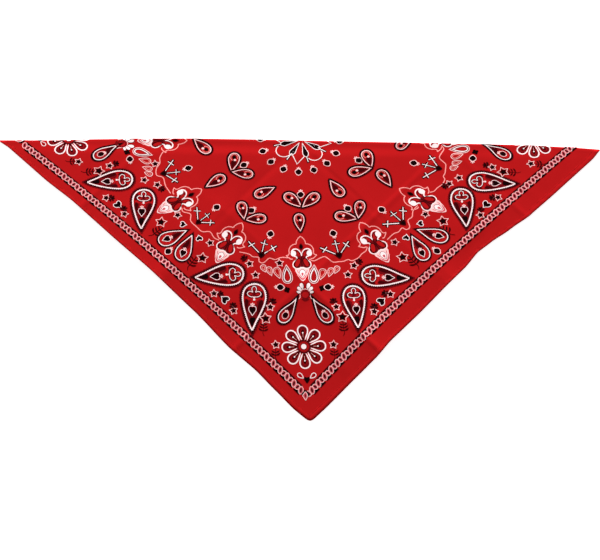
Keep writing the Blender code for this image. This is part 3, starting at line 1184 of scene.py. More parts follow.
@cache
def lily() -> Stamp:
    """The stylised lily of the ring, pointing down towards the middle, with its bud up.

    Returns:
        The motif as a stamp.
    """
    stamp = Stamp()
    hood = [(0, -21.8), (2.6, -19.6), (4.3, -16.6), (4.7, -13.9)]
    shoulder = [(4.7, -13.9), (7.2, -13.7), (10.3, -11.8), (12.1, -8.4), (12.0, -4.6)]
    wing = [(12.0, -4.6), (13.2, -3.0), (15.3, -2.6)]
    under = [(15.3, -2.6), (13.4, -0.8), (11.2, 0.8), (8.9, 1.0)]
    for stretch in (hood, shoulder, wing, under):
        stamp.pair(SALMON, ribbon(smooth_line(stretch), 0.9))
    stamp.paint(MAROON, smooth_loop(both_sides([(0, -14.8), (2.3, -11.2), (0, -7.6)]), 4))
    stamp.paint(BLACK, smooth_loop(both_sides([(0, -13.8), (1.7, -11.2), (0, -8.6)]), 4))
    vase = smooth_loop(both_sides([
        (0, -1.8), (2.8, -2.4), (4.8, -1.6), (5.0, 0.2), (6.2, 1.9), (8.3, 3.6), (9.4, 5.8), (9.1, 8.4),
        (7.0, 10.6), (3.4, 11.0), (0, 9.8),
    ]), 4)
    stamp.bands(vase, (WHITE, 0.0), (MAROON, -0.95))
    curl = smooth_loop([
        (0, -2.4), (1.4, -5.2), (3.4, -7.4), (6.6, -7.8), (5.2, -5.4),
        (5.0, -2.8), (4.4, -0.8), (3.4, 1.4), (0, 2.0),
    ], 4)
    stamp.pair(MAROON, curl)
    stamp.pair(BARE, smooth_loop([(1.6, -2.6), (2.6, -5.4), (4.4, -6.8), (4.2, -3.6), (3.2, -1.6)], 4))
    lobe = turned(oval(0, 0, 2.1, 4.3), -24.0) + (4.2, 4.7)
    stamp.pair(DEEP, grown(lobe, 0.9)).pair(BARE, lobe)
    stamp.paint(DEEP, ribbon([(0, -1.6), (0, 9.2)], 1.1))
    volute = smooth_line([(0.0, -2.0), (0.7, -5.0), (2.5, -7.7), (5.2, -9.0), (8.2, -8.4), (9.8, -6.2)])
    stamp.pair(WHITE, ribbon(volute, 0.7, 1.5))
    hook = smooth_line([(7.4, -2.0), (5.4, -1.2), (4.2, 0.4)])
    stamp.pair(WHITE, oval(7.9, -4.5, 2.7, 2.9), ribbon(hook, 1.4, 0.8))
    bud = smooth_loop(both_sides([
        (0, 9.8), (3.4, 10.9), (6.6, 10.2), (6.9, 12.8), (5.6, 15.4),
        (4.6, 17.8), (3.2, 19.6), (2.2, 21.4), (0, 22.9),
    ]), 4)
    heart_of_bud = smooth_loop(both_sides([(0, 11.6), (2.7, 13.8), (1.7, 17.2), (0, 18.8)]), 4)
    under_bud = smooth_loop(both_sides([(0, 20.2), (4.6, 15.8), (2.8, 19.6), (0, 21.8)]), 4)
    stamp.paint(ROSE, bud).paint(PINK, under_bud)
    stamp.bands(heart_of_bud, (MAROON, 0.45), (WHITE, 0.0))
    stamp.paint(PINK, smooth_loop(both_sides([(0, 14.6), (1.2, 15.6), (0, 18.0)]), 4))
    stamp.pair(PINK, ribbon([(4.9, 12.2), (3.9, 15.0)], 0.7))
    return stamp.scaled(0.862, 0.971)


@cache
def fan() -> Stamp:
    """Three thin sticks with cross bars that spread down from a dark knot at the origin.

    Returns:
        The motif as a stamp.
    """
    stamp = Stamp()
    for turn, length, thick in ((-46.0, 14.8, 0.62), (-3.0, 14.2, 0.45), (49.0, 16.0, 0.62)):
        stick = turned(np.array(((0, -1.6), (0, -length))), turn)
        bar = turned(np.array(((-3.0, -length * 0.74), (3.0, -length * 0.79))), turn)
        stamp.paint(BLACK, ribbon(stick * 1.04, thick + 1.8), ribbon(bar * 1.02, thick + 1.6))
        stamp.paint(WHITE, ribbon(stick, thick + 0.1), ribbon(bar * 0.99, thick))
    bow = [(0, 2.8), (1.7, 1.3), (2.8, -1.4), (0.9, -3.0), (-1.6, -2.7), (-2.8, -0.8), (-1.7, 1.3)]
    knot = smooth_loop(bow)
    return stamp.paint(DEEP, knot).paint(BLACK, knot * 0.6)


@cache
def loop_drop(length: float, width: float, double: bool) -> Stamp:
    """A looped drop of the rows beside a lily, its tip at the origin.

    Args:
        length: tip to round end.
        width: across its widest place.
        double: whether a white drop lies inside it.

    Returns:
        The motif as a stamp.
    """
    inside = ((BARE, -0.6), (SALMON, -1.35), (BARE, -1.8))
    if double:
        inside = ((MAROON, -0.62), (DEEP, -0.85), (WHITE, -1.4), (MAROON, -2.3), (BARE, -2.8))
    return Stamp().bands(drop(length, width, 0.0, 1.1), (ROSE, 0.0), *inside)


@cache
def plume() -> Stamp:
    """Two fans of three white petals over a small ring, at the inner end of a corner; it points down.

    Returns:
        The motif as a stamp.
    """
    stamp = Stamp()
    petals = ((2.4, 4.6, -14.0, 6.4, 3.6), (3.4, 2.7, -44.0, 5.6, 3.2), (3.6, 0.9, -76.0, 4.8, 2.5))
    for x, y, turn, length, width in petals:
        leaf = turned(drop(length, width, 0.0, 0.5), turn) + (x, y)
        stamp.pair(DEEP, grown(leaf, 0.5)).pair(WHITE, leaf)
    stamp.pair(ROSE, ribbon(smooth_line([(4.4, 0.4), (5.0, -1.8), (5.2, -3.8), (6.2, -5.6)]), 0.7))
    stamp.paint(ROSE, oval(0, -0.2, 5.1, 5.3)).paint(BARE, oval(0, -0.8, 5.0, 5.2))
    stamp.paint(MAROON, oval(0, -1.0, 4.4, 4.5)).paint(BARE, oval(0, -1.0, 3.4, 3.5))
    stamp.paint(MAROON, smooth_loop(both_sides([(0, -5.0), (3.8, -5.6), (2.0, -7.0), (0, -7.8)]), 4))
    return stamp.scaled(0.87, 0.9)


@cache
def dark_leaf() -> Stamp:
    """A small dark four-lobed leaf.

    Returns:
        The motif as a stamp.
    """
    stamp = Stamp()
    for turn in (25.0, 115.0, 205.0, 295.0):
        stamp.paint(BLACK, turned(oval(0, 1.5, 1.6, 1.9), turn))
    return stamp.paint(BLACK, oval(0, 0, 1.9, 2.2)).scaled(0.78, 0.88)


@cache
def spearhead() -> Stamp:
    """A spearhead of the middle: a long black blade in a white rim, and a tail.

    Returns:
        The motif as a stamp.
    """
    tail = ribbon([(0, 17.0), (0, 25.8)], 2.5)
    stamp = Stamp().paint(BLACK, tail).paint(WHITE, ribbon([(0, 17.5), (0, 25.2)], 0.75))
    side = [(0.9, 6.0), (1.9, 10.6), (2.9, 14.8), (2.6, 17.0), (1.4, 18.9), (0, 19.6)]
    blade = smooth_line([(0, 3.0), *both_sides(side), (0, 3.0)], 4)[:-1]
    return stamp.paint(WHITE, blade).paint(BLACK, grown(blade, -0.6, 1.5)).scaled(0.95, 0.97)


@cache
def middle_loop() -> Stamp:
    """The round white loop between two spearheads.

    Returns:
        The motif as a stamp.
    """
    side = [(-5.2, 12.0), (-6.6, 15.6), (-7.3, 19.4), (-6.3, 23.4), (-3.6, 26.4), (0, 27.3)]
    return Stamp().paint(WHITE, ribbon(smooth_line(both_sides(side)), 0.8)).scaled(0.96, 0.94)


@cache
def middle_point() -> Stamp:
    """The white point between two spearheads.

    Returns:
        The motif as a stamp.
    """
    line = np.array(both_sides([(-6.4, 14.6), (-3.2, 19.6), (0, 24.8)]))
    return Stamp().paint(WHITE, ribbon(line, 0.75)).scaled(0.97, 1.06)


@cache
def chain_run(links: int, length: float) -> Stamp:
    """A straight run of interlocked chain along x, with up towards the middle of the cloth.

    Args:
        links: how many pairs of links it has.
        length: how long the run is.

    Returns:
        The run as a stamp.
    """
    stamp = Stamp()
    pitch = length / links
    notch = np.array(((-2.7, -3.7), (2.7, -3.7), (1.8, -2.3), (0.6, -0.9), (-0.7, -0.9), (-1.8, -2.3)))
    for number in range(links):
        stamp.paint(DEEP, grown(notch, 0.4) + ((number + 0.26) * pitch, 0.0))
        stamp.paint(BLACK, notch + ((number + 0.26) * pitch, 0.0))
        stamp.paint(DEEP, notch * (-1.45, -1.08) + ((number + 0.68) * pitch, 0.0))
    for number in range(-1, links):
        place = (number + 0.5) * pitch
        stamp.bands(oval(place, 0.0, 2.5, 2.5, 10.0, 16), (ROSE, 0.0), (PINK, -0.45))
        stamp.paint(DEEP, oval(place, 0.0, 0.85, 1.7, 14.0, 12))
    for number in range(links + 1):
        place = number * pitch
        stamp.bands(oval(place, 0.0, 2.2, 3.35, -32.0, 18), (ROSE, 0.0), (PINK, -0.45))
        stamp.bands(oval(place, 0.0, 0.9, 2.0, -32.0, 12), (MAROON, 0.0), (DEEP, -0.2))
    return stamp


@cache
def chain_corner() -> Stamp:
    """The single pointed link where two runs of chain meet; it points down.

    Returns:
        The motif as a stamp.
    """
    link = [(0.0, -3.6), (1.6, -1.2), (1.9, 1.0), (0.2, 3.6), (-1.7, 1.8), (-2.6, 0.2), (-1.4, -1.8)]
    rim = smooth_loop(link, 4)
    black = np.array(((-3.6, 1.6), (-0.2, 5.4), (3.2, 2.6), (3.4, 0.6), (1.8, -0.8), (-2.2, -0.8)))
    stamp = Stamp().paint(BLACK, black).bands(rim, (ROSE, 0.0), (PINK, -0.5))
    return stamp.paint(MAROON, turned(oval(0.0, 0.1, 0.65, 1.9, sides=12), 14.0))


WAVE_FROM_LILY = (
    (2.9, 123.1), (4.8, 125.2), (7.2, 123.2), (9.3, 122.3), (10.8, 125.6), (12.0, 128.8), (14.2, 129.6),
    (16.0, 130.2), (17.8, 129.8), (19.0, 131.9), (21.5, 131.3), (23.6, 128.8), (25.6, 127.6), (26.8, 124.8),
)
WAVE_BETWEEN = (
    (4.7, 122.3), (8.1, 122.5), (10.5, 125.5), (12.8, 125.1), (14.3, 130.0), (15.4, 131.2), (16.4, 130.0),
    (17.0, 126.7), (19.2, 127.6), (21.2, 126.3), (24.8, 127.6),
)
WAVE_LEFT = (
    (4.6, 125.5), (6.5, 126.8), (9.2, 123.2), (11.6, 127.7), (15.1, 128.1), (18.2, 128.3), (20.5, 124.1),
    (23.5, 126.5), (25.7, 126.0),
)
WAVE_AT_FOLD = (
    (5.8, 119.5), (8.6, 123.2), (11.4, 124.3), (13.5, 128.3), (16.6, 130.2), (18.5, 125.6), (22.5, 126.7),
    (26.6, 126.0),
)


@cache
def wave(places: tuple[tuple[float, float], ...]) -> Stamp:
    """The thin wavy line from one lily of the ring to the next, in print units round the middle.

    Args:
        places: degrees from the first lily and print units from the middle.

    Returns:
        The line as a stamp.
    """
    points = [(r * math.sin(math.radians(d)), -r * math.cos(math.radians(d))) for d, r in places]
    return Stamp().paint(SALMON, ribbon(smooth_line(points, 4), 0.85))


# ---- Where the motifs go


@dataclass(frozen=True)
class PrintMap:
    """How the printed square lies: print units from its middle to places on the cloth before it is folded.

    The print was not quite square to the cloth and gave a little, so the map has a few small bends.
    """

    half: float = 260.0
    middle: tuple[float, float] = (0.00054, 0.18756)
    across: float = 0.40186
    down: float = 0.32189
    axis_slope: float = 0.00148
    across_bends: tuple[float, float, float, float] = (0.01021, 0.01035, 0.02365, 0.00605)
    down_bends: tuple[float, float] = (0.02124, 0.02782)

    def place(self, points: Array) -> Array:
        """Place print points on the flat cloth.

        Args:
            points: rows of print units, right and up from the print's middle.

        Returns:
            Rows of metres in the scene, with the hidden half unfolded above the fold.
        """
        u = points[..., 0] / self.half
        v = np.abs(points[..., 1]) / self.half
        bent = self.across_bends
        x = self.middle[0] + self.across * u
        x = x + bent[0] * u * v**2 + bent[1] * v**2 + bent[2] * u**2 * v + bent[3] * u * v
        axis = self.middle[1] + self.axis_slope * u
        depth = self.down * v + self.down_bends[0] * v**2 + self.down_bends[1] * v**3
        y = np.where(points[..., 1] > 0, axis + depth, axis - depth)
        return np.stack((x, y), axis=-1)


@dataclass(frozen=True)
class Spot:
    """One place where a stamp is put down, in print units from the print's middle."""

    stamp: Stamp
    x: float
    y: float
    turn: float = 0.0
    size: float = 1.0
    flipped: bool = False

    def spun(self, degrees: float) -> "Spot":
        """Give this place turned to the left about the print's middle.

        Args:
            degrees: how far it is turned.

        Returns:
            The turned place.
        """
        angle = math.radians(degrees)
        x = self.x * math.cos(angle) - self.y * math.sin(angle)
        y = self.x * math.sin(angle) + self.y * math.cos(angle)
        return Spot(self.stamp, x, y, self.turn + degrees, self.size, self.flipped)

    def mirror(self) -> "Spot":
        """Give this place mirrored left to right."""
        return Spot(self.stamp, -self.x, self.y, -self.turn, self.size, not self.flipped)


def at_bearing(stamp: Stamp, radius: float, bearing: float, turn: float = 0.0, size: float = 1.0) -> Spot:
    """Put a stamp on a circle round the print's middle.

    Args:
        stamp: the stamp.
        radius: print units from the middle.
        bearing: degrees to the left from straight down.
        turn: degrees from pointing outwards.
        size: how much larger it is made.

    Returns:
        The place.
    """
    return Spot(stamp, 0.0, -radius, 180.0 + turn, size).spun(bearing)


@dataclass
class PrintPart:
    """A group of motifs as one piece of ink on the cloth."""

    name: str
    lift: float = 0.00012
    step: float = 0.00003
    levels: int = 3
    spacing: float = 2.2

    def spots(self) -> list[Spot]:
        """Give the places of its motifs; each group has its own."""
        raise NotImplementedError

    def build(self, lie: Lie, chart: PrintMap) -> Object:
        """Cut every motif, lay it on the cloth and go over the fold with it.

        Args:
            lie: how the cloth lies.
            chart: how the print lies on the cloth.

        Returns:
            The ink as a mesh object.
        """
        flat, triangles, inks, lifts = [], [], [], []
        count = 0
        cuts: dict[int, tuple[Array, Array, Array]] = {}
        for number, spot in enumerate(self.spots()):
            key = id(spot.stamp)
            if key not in cuts:
                cuts[key] = spot.stamp.cut(self.spacing)
            points, faces, numbers = cuts[key]
            if spot.flipped:
                points, faces = points * (-1.0, 1.0), faces[:, ::-1]
            flat.append(chart.place(turned(points, spot.turn) * spot.size + (spot.x, spot.y)))
            triangles.append(faces + count)
            inks.append(numbers)
            lifts.append(np.full(len(points), self.lift + self.step * (number % self.levels)))
            count += len(points)
        mesh = drape_mesh(self.name, lie, *map(np.concatenate, (flat, triangles, inks, lifts)))
        return finished_piece(mesh, closed=False)


# ink is cut along this many lines round the turn, and so is what lies this close to it
TURN_CUTS = 7
TURN_MARGIN = 0.0002


def drape_mesh(name: str, lie: Lie, flat: Array, triangles: Array, inks: Array, lifts: Array) -> Mesh:
    """Lay flat triangles over the folded cloth, cutting them where the cloth turns.

    Args:
        name: the mesh's name.
        lie: how the cloth lies.
        flat: places on the unfolded cloth in the scene.
        triangles: rows of three point numbers.
        inks: one material number for each triangle.
        lifts: how far each point stands off the cloth.

    Returns:
        The mesh.
    """
    own = flat + lie.centre[:2]
    past = own[:, 1] - lie.fold_line(own[:, 0])
    turn = math.pi * lie.turn_radius
    spans = past[triangles]
    crossing = (spans.max(axis=1) > -TURN_MARGIN) & (spans.min(axis=1) < turn + TURN_MARGIN)
    work = bmesh.new()
    used, renumbered = np.unique(triangles[crossing], return_inverse=True)
    renumbered = renumbered.reshape(-1, 3)
    level = work.verts.layers.float.new("lift")
    corners = []
    for point in used:
        vertex = work.verts.new((own[point, 0], past[point], 0.0))
        vertex[level] = lifts[point]
        corners.append(vertex)
    for row, ink in zip(renumbered, inks[crossing]):
        face = work.faces.new([corners[index] for index in row])
        face.material_index = int(ink)
    for cut in np.linspace(0.0, turn, TURN_CUTS):
        everything = work.verts[:] + work.edges[:] + work.faces[:]
        bmesh.ops.bisect_plane(work, geom=everything, dist=1e-7, plane_co=(0, cut, 0), plane_no=(0, 1, 0))
    bmesh.ops.triangulate(work, faces=work.faces[:])
    work.verts.index_update()
    near = np.array([(*vertex.co.xy, vertex[level]) for vertex in work.verts]).reshape(-1, 3)
    near_faces = np.array([[v.index for v in face.verts] for face in work.faces], int).reshape(-1, 3)
    near_inks = np.array([face.material_index for face in work.faces], int)
    work.free()
    x = np.concatenate((own[:, 0], near[:, 0]))
    beyond = np.concatenate((past, near[:, 1]))
    lift = np.concatenate((lifts, near[:, 2]))
    faces = np.concatenate((triangles[~crossing], near_faces + len(own)))
    materials = np.concatenate((inks[~crossing], near_inks))
    kept, faces = np.unique(faces, return_inverse=True)
    faces = faces.reshape(-1, 3)
    surface = lie.drape(x[kept], beyond[kept], lift[kept]) - lie.centre
    finishes = [ink.finish() for ink in Ink if ink is not BARE]
    return mesh_from(name, surface, faces, finishes, materials)


def mesh_from(
    name: str, points: Array, faces: Array, finishes: list[Finish], materials: Array | None = None
) -> Mesh:
    """Make a mesh from arrays.

    Args:
        name: the mesh's name.
        points: rows of x, y and z.
        faces: rows of three point numbers.
        finishes: its finishes in slot order.
        materials: one material number for each face, or nothing.

    Returns:
        The mesh, shaded smooth.
    """
    mesh = bpy.data.meshes.new(name)
    for finish in finishes:
        mesh.materials.append(finish.material())
    mesh.vertices.add(len(points))
    mesh.vertices.foreach_set("co", np.asarray(points, np.float32).ravel())
    mesh.loops.add(faces.size)
    mesh.loops.foreach_set("vertex_index", faces.astype(np.int32).ravel())
    mesh.polygons.add(len(faces))
    mesh.polygons.foreach_set("loop_start", np.arange(0, faces.size, 3, dtype=np.int32))
    if materials is not None:
        mesh.polygons.foreach_set("material_index", materials.astype(np.int32))
    mesh.polygons.foreach_set("use_smooth", np.ones(len(faces), bool))
    mesh.update(calc_edges=True)
    mesh.validate()
    return mesh


def flat_chart(mesh: Mesh, margin: float = 0.01) -> None:
    """Give a mesh a plan-view UV map for its colour map.

    Args:
        mesh: the mesh.
        margin: the share of the map left free at each side.
    """
    layer = mesh.uv_layers.new(name="OFBake")
    points = np.empty(len(mesh.vertices) * 3, np.float32)
    mesh.vertices.foreach_get("co", points)
    points = points.reshape(-1, 3)
    index = np.empty(len(mesh.loops), np.int32)
    mesh.loops.foreach_get("vertex_index", index)
    low, high = points[:, :2].min(axis=0), points[:, :2].max(axis=0)
    size = float((high - low).max())
    chart = (points[index, :2] - low) / size * (1 - 2 * margin) + margin
    layer.data.foreach_set("uv", chart.astype(np.float32).ravel())


def tidy_normals(mesh: Mesh) -> None:
    """Make a closed mesh's faces all point outwards.

    Args:
        mesh: the mesh.
    """
    work = bmesh.new()
    work.from_mesh(mesh)
    bmesh.ops.recalc_face_normals(work, faces=work.faces[:])
    work.to_mesh(mesh)
    work.free()


def placed(name: str, data: ID) -> Object:
    """Put a mesh, lamp or camera in the scene as an object.

    Args:
        name: the object's name.
        data: what it shows.

    Returns:
        The object.
    """
    made = bpy.data.objects.new(name, data)
    bpy.context.collection.objects.link(made)
    return made


def finished_piece(mesh: Mesh, closed: bool) -> Object:
    """Put a mesh in the scene as a piece of its own name.

    Args:
        mesh: the mesh.
        closed: whether it is closed, so that its faces are first turned to point outwards.

    Returns:
        The piece.
    """
    if closed:
        tidy_normals(mesh)
    piece = placed(mesh.name, mesh)
    flat_chart(mesh)
    return piece


@dataclass
class ChainBorder(PrintPart):
    """The chain along the four sides of the print."""

    name: str = "print_chain"
    line: float = 244.0
    links: int = 42
    corner_gap: float = 6.6
    spacing: float = 3.0

    def spots(self) -> list[Spot]:
        """Give the four runs and the four corner links.

        Returns:
            The places in the order of painting.
        """
        length = self.line * math.sqrt(2)
        run = chain_run(self.links, length - 2 * self.corner_gap)
        aside = self.corner_gap / math.sqrt(2)
        side = Spot(run, aside, aside - self.line, 45.0)
        corner = Spot(chain_corner(), -1.0, -self.line)
        places = [spot.spun(180.0 * half) for half in range(2) for spot in (side, side.mirror())]
        return places + [corner.spun(90.0 * quarter) for quarter in (1, 0, 2, 3)]


@dataclass(frozen=True)
class Move:
    """How far one motif sits off its even place."""

    right: float = 0.0
    up: float = 0.0
    turn: float = 0.0
    size: float = 1.0


@dataclass
class Corners(PrintPart):
    """The four corners: a rosette, paisleys, stars, sprigs and hearts, the same in each.

    The corners are numbered 0 below, 1 right, 2 hidden and 3 left.
    """

    MOVES: ClassVar[dict[int, dict[str, Move]]] = {
        0: {
            "tall_paisley_copy": Move(1.4, 2.0, size=0.9), "flat_paisley": Move(0.6, 0.0),
            "flat_paisley_copy": Move(-2.6, -1.6, size=0.94), "inner_star_copy": Move(-0.5, -2.2),
            "inner_tuft": Move(0.0, 1.2), "inner_tuft_copy": Move(-0.6, -2.4),
            "loop_star_copy": Move(-1.0, 0.0), "heart_copy": Move(-0.9, -2.1),
            "outer_star_copy": Move(-2.4, -1.2), "outer_tuft_copy": Move(-1.5, 0.0),
            "low_star_copy": Move(0.0, -1.2), "low_tuft_copy": Move(0.0, -1.2),
            "high_star_copy": Move(1.0, 0.0), "small_heart_copy": Move(1.4, 0.0),
            "tall_star": Move(0.6, -1.2), "tall_sprig": Move(-1.0, 0.0),
            "side_paisley_copy": Move(0.0, -1.6, size=0.96), "rosette_paisley_copy": Move(3.0, 0.0),
            "seed_copy": Move(2.8, 0.0), "leaf_copy": Move(3.4, 1.4), "loop_0_copy": Move(-2.7, 0.0),
            "loop_1_copy": Move(-3.8, -1.4), "loop_2_copy": Move(-3.4, -1.2), "loop_3_copy": Move(-3.2, -1.4),
        },
        1: {
            "rosette": Move(1.1, 1.4), "rosette_paisley": Move(2.2, 1.6),
            "tall_paisley": Move(-2.0, -1.4, size=0.93), "flat_paisley": Move(2.0, 3.0, size=0.92),
            "inner_star": Move(1.5, -1.9), "inner_tuft": Move(1.7, 0.0), "outer_star": Move(0.0, -1.5),
            "outer_tuft": Move(0.0, -1.5), "leaf": Move(1.7, 1.6), "seed": Move(1.7, 0.5),
            "loop_0": Move(1.4, 3.0), "loop_1": Move(1.2, 4.6), "loop_2": Move(2.4, 4.0),
            "loop_3": Move(2.2, 3.4), "side_paisley": Move(0.0, 0.0, turn=6.0), "tall_sprig": Move(-1.7, 0.0),
            "side_sprig": Move(-1.7, 0.0),
        },
        3: {
            "rosette": Move(0.3, 0.4, turn=9.0), "rosette_paisley_copy": Move(0.5, 1.9),
            "foot": Move(2.6, 4.2), "tall_paisley_copy": Move(1.3, 0.9, size=0.94),
            "flat_paisley_copy": Move(0.0, 1.4, size=0.95), "tall_star_copy": Move(0.0, 1.6),
            "tall_sprig_copy": Move(1.2, 1.2), "paisley_star_copy": Move(0.4, 2.0),
            "paisley_tuft_copy": Move(0.5, 2.2), "leaf_copy": Move(0.0, 1.5),
            "loop_star_copy": Move(1.5, -1.6), "near_star_copy": Move(6.7, 2.9),
            "near_sprig_copy": Move(8.4, 3.6), "inner_star_copy": Move(2.6, -2.1),
            "inner_tuft_copy": Move(2.6, -2.1), "loop_0_copy": Move(-0.3, -2.4, turn=-15.0),
            "loop_2_copy": Move(0.6, -1.6), "loop_3_copy": Move(-0.9, -2.3),
        },
    }

    name: str = "print_corners"
    give_start: float = 120.0
    give_reach: float = 30.0
    give_right: tuple[float, float] = (1.8, 2.0)
    give_left: tuple[float, float] = (1.7, 1.0)

    def spots(self) -> list[Spot]:
        """Give the places of the four corners' motifs.

        Returns:
            The places in the order of painting.
        """
        small, large = star(), star(5.9)
        loops = [loop_drop(18.4, 9.4, True)]
        loops += [loop_drop(length, width, False) for length, width in ((11.6, 6.8), (9.6, 5.6), (8.2, 5.4))]
        middle = {
            "rosette": Spot(rosette(), -0.7, -202.9, 2.0),
            "foot": Spot(rosette_foot(), 0.8, -230.2, 0.0),
            "plume": Spot(plume(), 2.2, -155.6, 0.0),
        }
        left = {
            "tall_paisley": Spot(big_paisley(), -44.2, -188.6, -0.5),
            "flat_paisley": Spot(big_paisley(), -93.2, -140.0, -89.5, flipped=True),
            "side_paisley": Spot(side_paisley(), -94.3, -98.7, 158.0, 0.97),
            "rosette_paisley": Spot(rosette_paisley(), -5.2, -159.6, 147.0),
            "tall_star": Spot(large, -33.0, -176.9, 4.0),
            "side_star": Spot(large, -85.8, -121.5, -8.0),
            "tall_sprig": Spot(sprig(3), -33.9, -191.6, -4.0),
            "side_sprig": Spot(sprig(3), -98.6, -130.6, -36.0, 1.2),
            "paisley_star": Spot(small, -28.0, -167.8, -5.0),
            "paisley_tuft": Spot(tuft(), -26.0, -164.2, -6.0),
            "near_star": Spot(small, -24.4, -201.2, 6.0),
            "near_sprig": Spot(sprig(2), -24.8, -212.6, 0.0, 0.95),
            "low_star": Spot(small, -59.8, -171.0, 10.0),
            "low_tuft": Spot(tuft(), -59.8, -168.0, 8.0),
            "outer_star": Spot(small, -76.4, -155.2, 0.0),
            "outer_tuft": Spot(tuft(), -72.4, -156.6, -60.0),
            "inner_star": Spot(small, -45.0, -127.2, 12.0),
            "inner_tuft": Spot(tuft(), -48.2, -124.2, 50.0),
            "loop_star": Spot(small, -40.0, -138.0, 3.0),
            "high_star": Spot(small, -78.8, -106.8, 14.0),
            "heart": Spot(heart(), -67.0, -160.8, 48.0),
            "small_heart": Spot(heart(0.8), -88.2, -102.2, 10.0),
            "seed": Spot(seed(), -19.2, -149.6, 86.0),
            "leaf": Spot(dark_leaf(), -13.2, -152.0, 0.0),
            "loop_0": Spot(loops[0], -13.3, -128.0, 183.0),
            "loop_1": Spot(loops[1], -19.0, -141.8, 17.5),
            "loop_2": Spot(loops[2], -26.0, -139.2, 19.0),
            "loop_3": Spot(loops[3], -31.0, -135.8, 23.0),
        }
        quarter = {**middle, **left, **{f"{name}_copy": spot.mirror() for name, spot in left.items()}}
        quarter["side_seed"] = Spot(seed(), -115.4, -114.8, -44.0)
        lone = [Spot(small, x, y, 4.0) for x, y in ((-19.1, -126.7), (-125.9, -25.2), (19.1, 126.7))]
        return lone + [
            self.settled(number, name, spot.spun(90.0 * number))
            for number in range(4)
            for name, spot in quarter.items()
        ]

    def settled(self, number: int, name: str, spot: Spot) -> Spot:
        """Move a motif by the little that the print gave in the outer corners, and by its own move.

        Args:
            number: the corner's number.
            name: the motif's name.
            spot: the motif's even place.

        Returns:
            The moved place.
        """
        move = self.MOVES.get(number, {}).get(name, Move())
        share = min(max((abs(spot.x) - self.give_start) / self.give_reach, 0.0), 1.0)
        inward, towards_fold = self.give_right if spot.x > 0 else self.give_left
        return Spot(
            spot.stamp,
            spot.x + move.right - math.copysign(inward, spot.x) * share,
            spot.y + move.up - math.copysign(towards_fold, -spot.y) * share,
            spot.turn + move.turn,
            spot.size * move.size,
            spot.flipped,
        )


@dataclass
class Ring(PrintPart):
    """The ring of twelve lilies and twelve stick fans, joined by a thin wavy line."""

    # lilies a little off their place: print units from the middle, degrees along, degrees turned, size
    OWN_LILIES: ClassVar[dict[int, tuple[float, float, float, float]]] = {
        0: (121.8, 0.0, 1.5, 1.0), 1: (123.0, 0.3, 0.0, 1.05), 11: (123.0, -0.3, 0.0, 1.05),
        2: (122.6, -1.4, 0.0, 1.06), 10: (122.6, 1.4, 0.0, 1.06), 9: (119.2, 0.0, 0.0, 1.0),
    }
    # fans that sit a little off: degrees along the ring for the fan and for its seed, degrees turned, size
    OWN_FANS: ClassVar[dict[int, tuple[float, float, float, float]]] = {
        0: (0.0, 0.8, 0.0, 1.1), 1: (0.0, -1.7, 0.0, 1.1), 2: (0.5, 0.6, 0.0, 1.06),
        9: (1.6, 2.1, -7.0, 1.04), 10: (-0.9, -0.7, 0.0, 0.96), 11: (-1.2, 0.0, 6.0, 1.08),
    }

    name: str = "print_ring"
    groups: int = 12
    lily_radius: float = 121.8
    fan_radius: float = 124.0
    seed_radius: float = 101.8

    def spots(self) -> list[Spot]:
        """Give the places of the ring's motifs.

        Returns:
            The places in the order of painting.
        """
        places = []
        pitch = 360.0 / self.groups
        for number in range(self.groups):
            bearing = pitch * number
            radius, along, turn, size = self.OWN_LILIES.get(number, (self.lily_radius, 0.0, 0.0, 1.0))
            fan_along, seed_along, fan_turn, fan_size = self.OWN_FANS.get(number, (0.0, 0.0, 0.0, 1.0))
            places.append(at_bearing(lily(), radius, bearing + along, turn, size))
            bearing += pitch / 2
            places.append(at_bearing(fan(), self.fan_radius, bearing + fan_along, fan_turn, fan_size))
            places.append(at_bearing(seed(), self.seed_radius, bearing + seed_along))
        start, between, left, last = (
            Spot(wave(line), 0.0, 0.0) for line in (WAVE_FROM_LILY, WAVE_BETWEEN, WAVE_LEFT, WAVE_AT_FOLD)
        )
        for half in (0.0, 180.0):
            places += [start.spun(half), start.mirror().spun(half + 90.0), between.mirror().spun(half)]
            places += [between.mirror().spun(half + 60.0), left.spun(half - 60.0), last.spun(half - 90.0)]
        return places


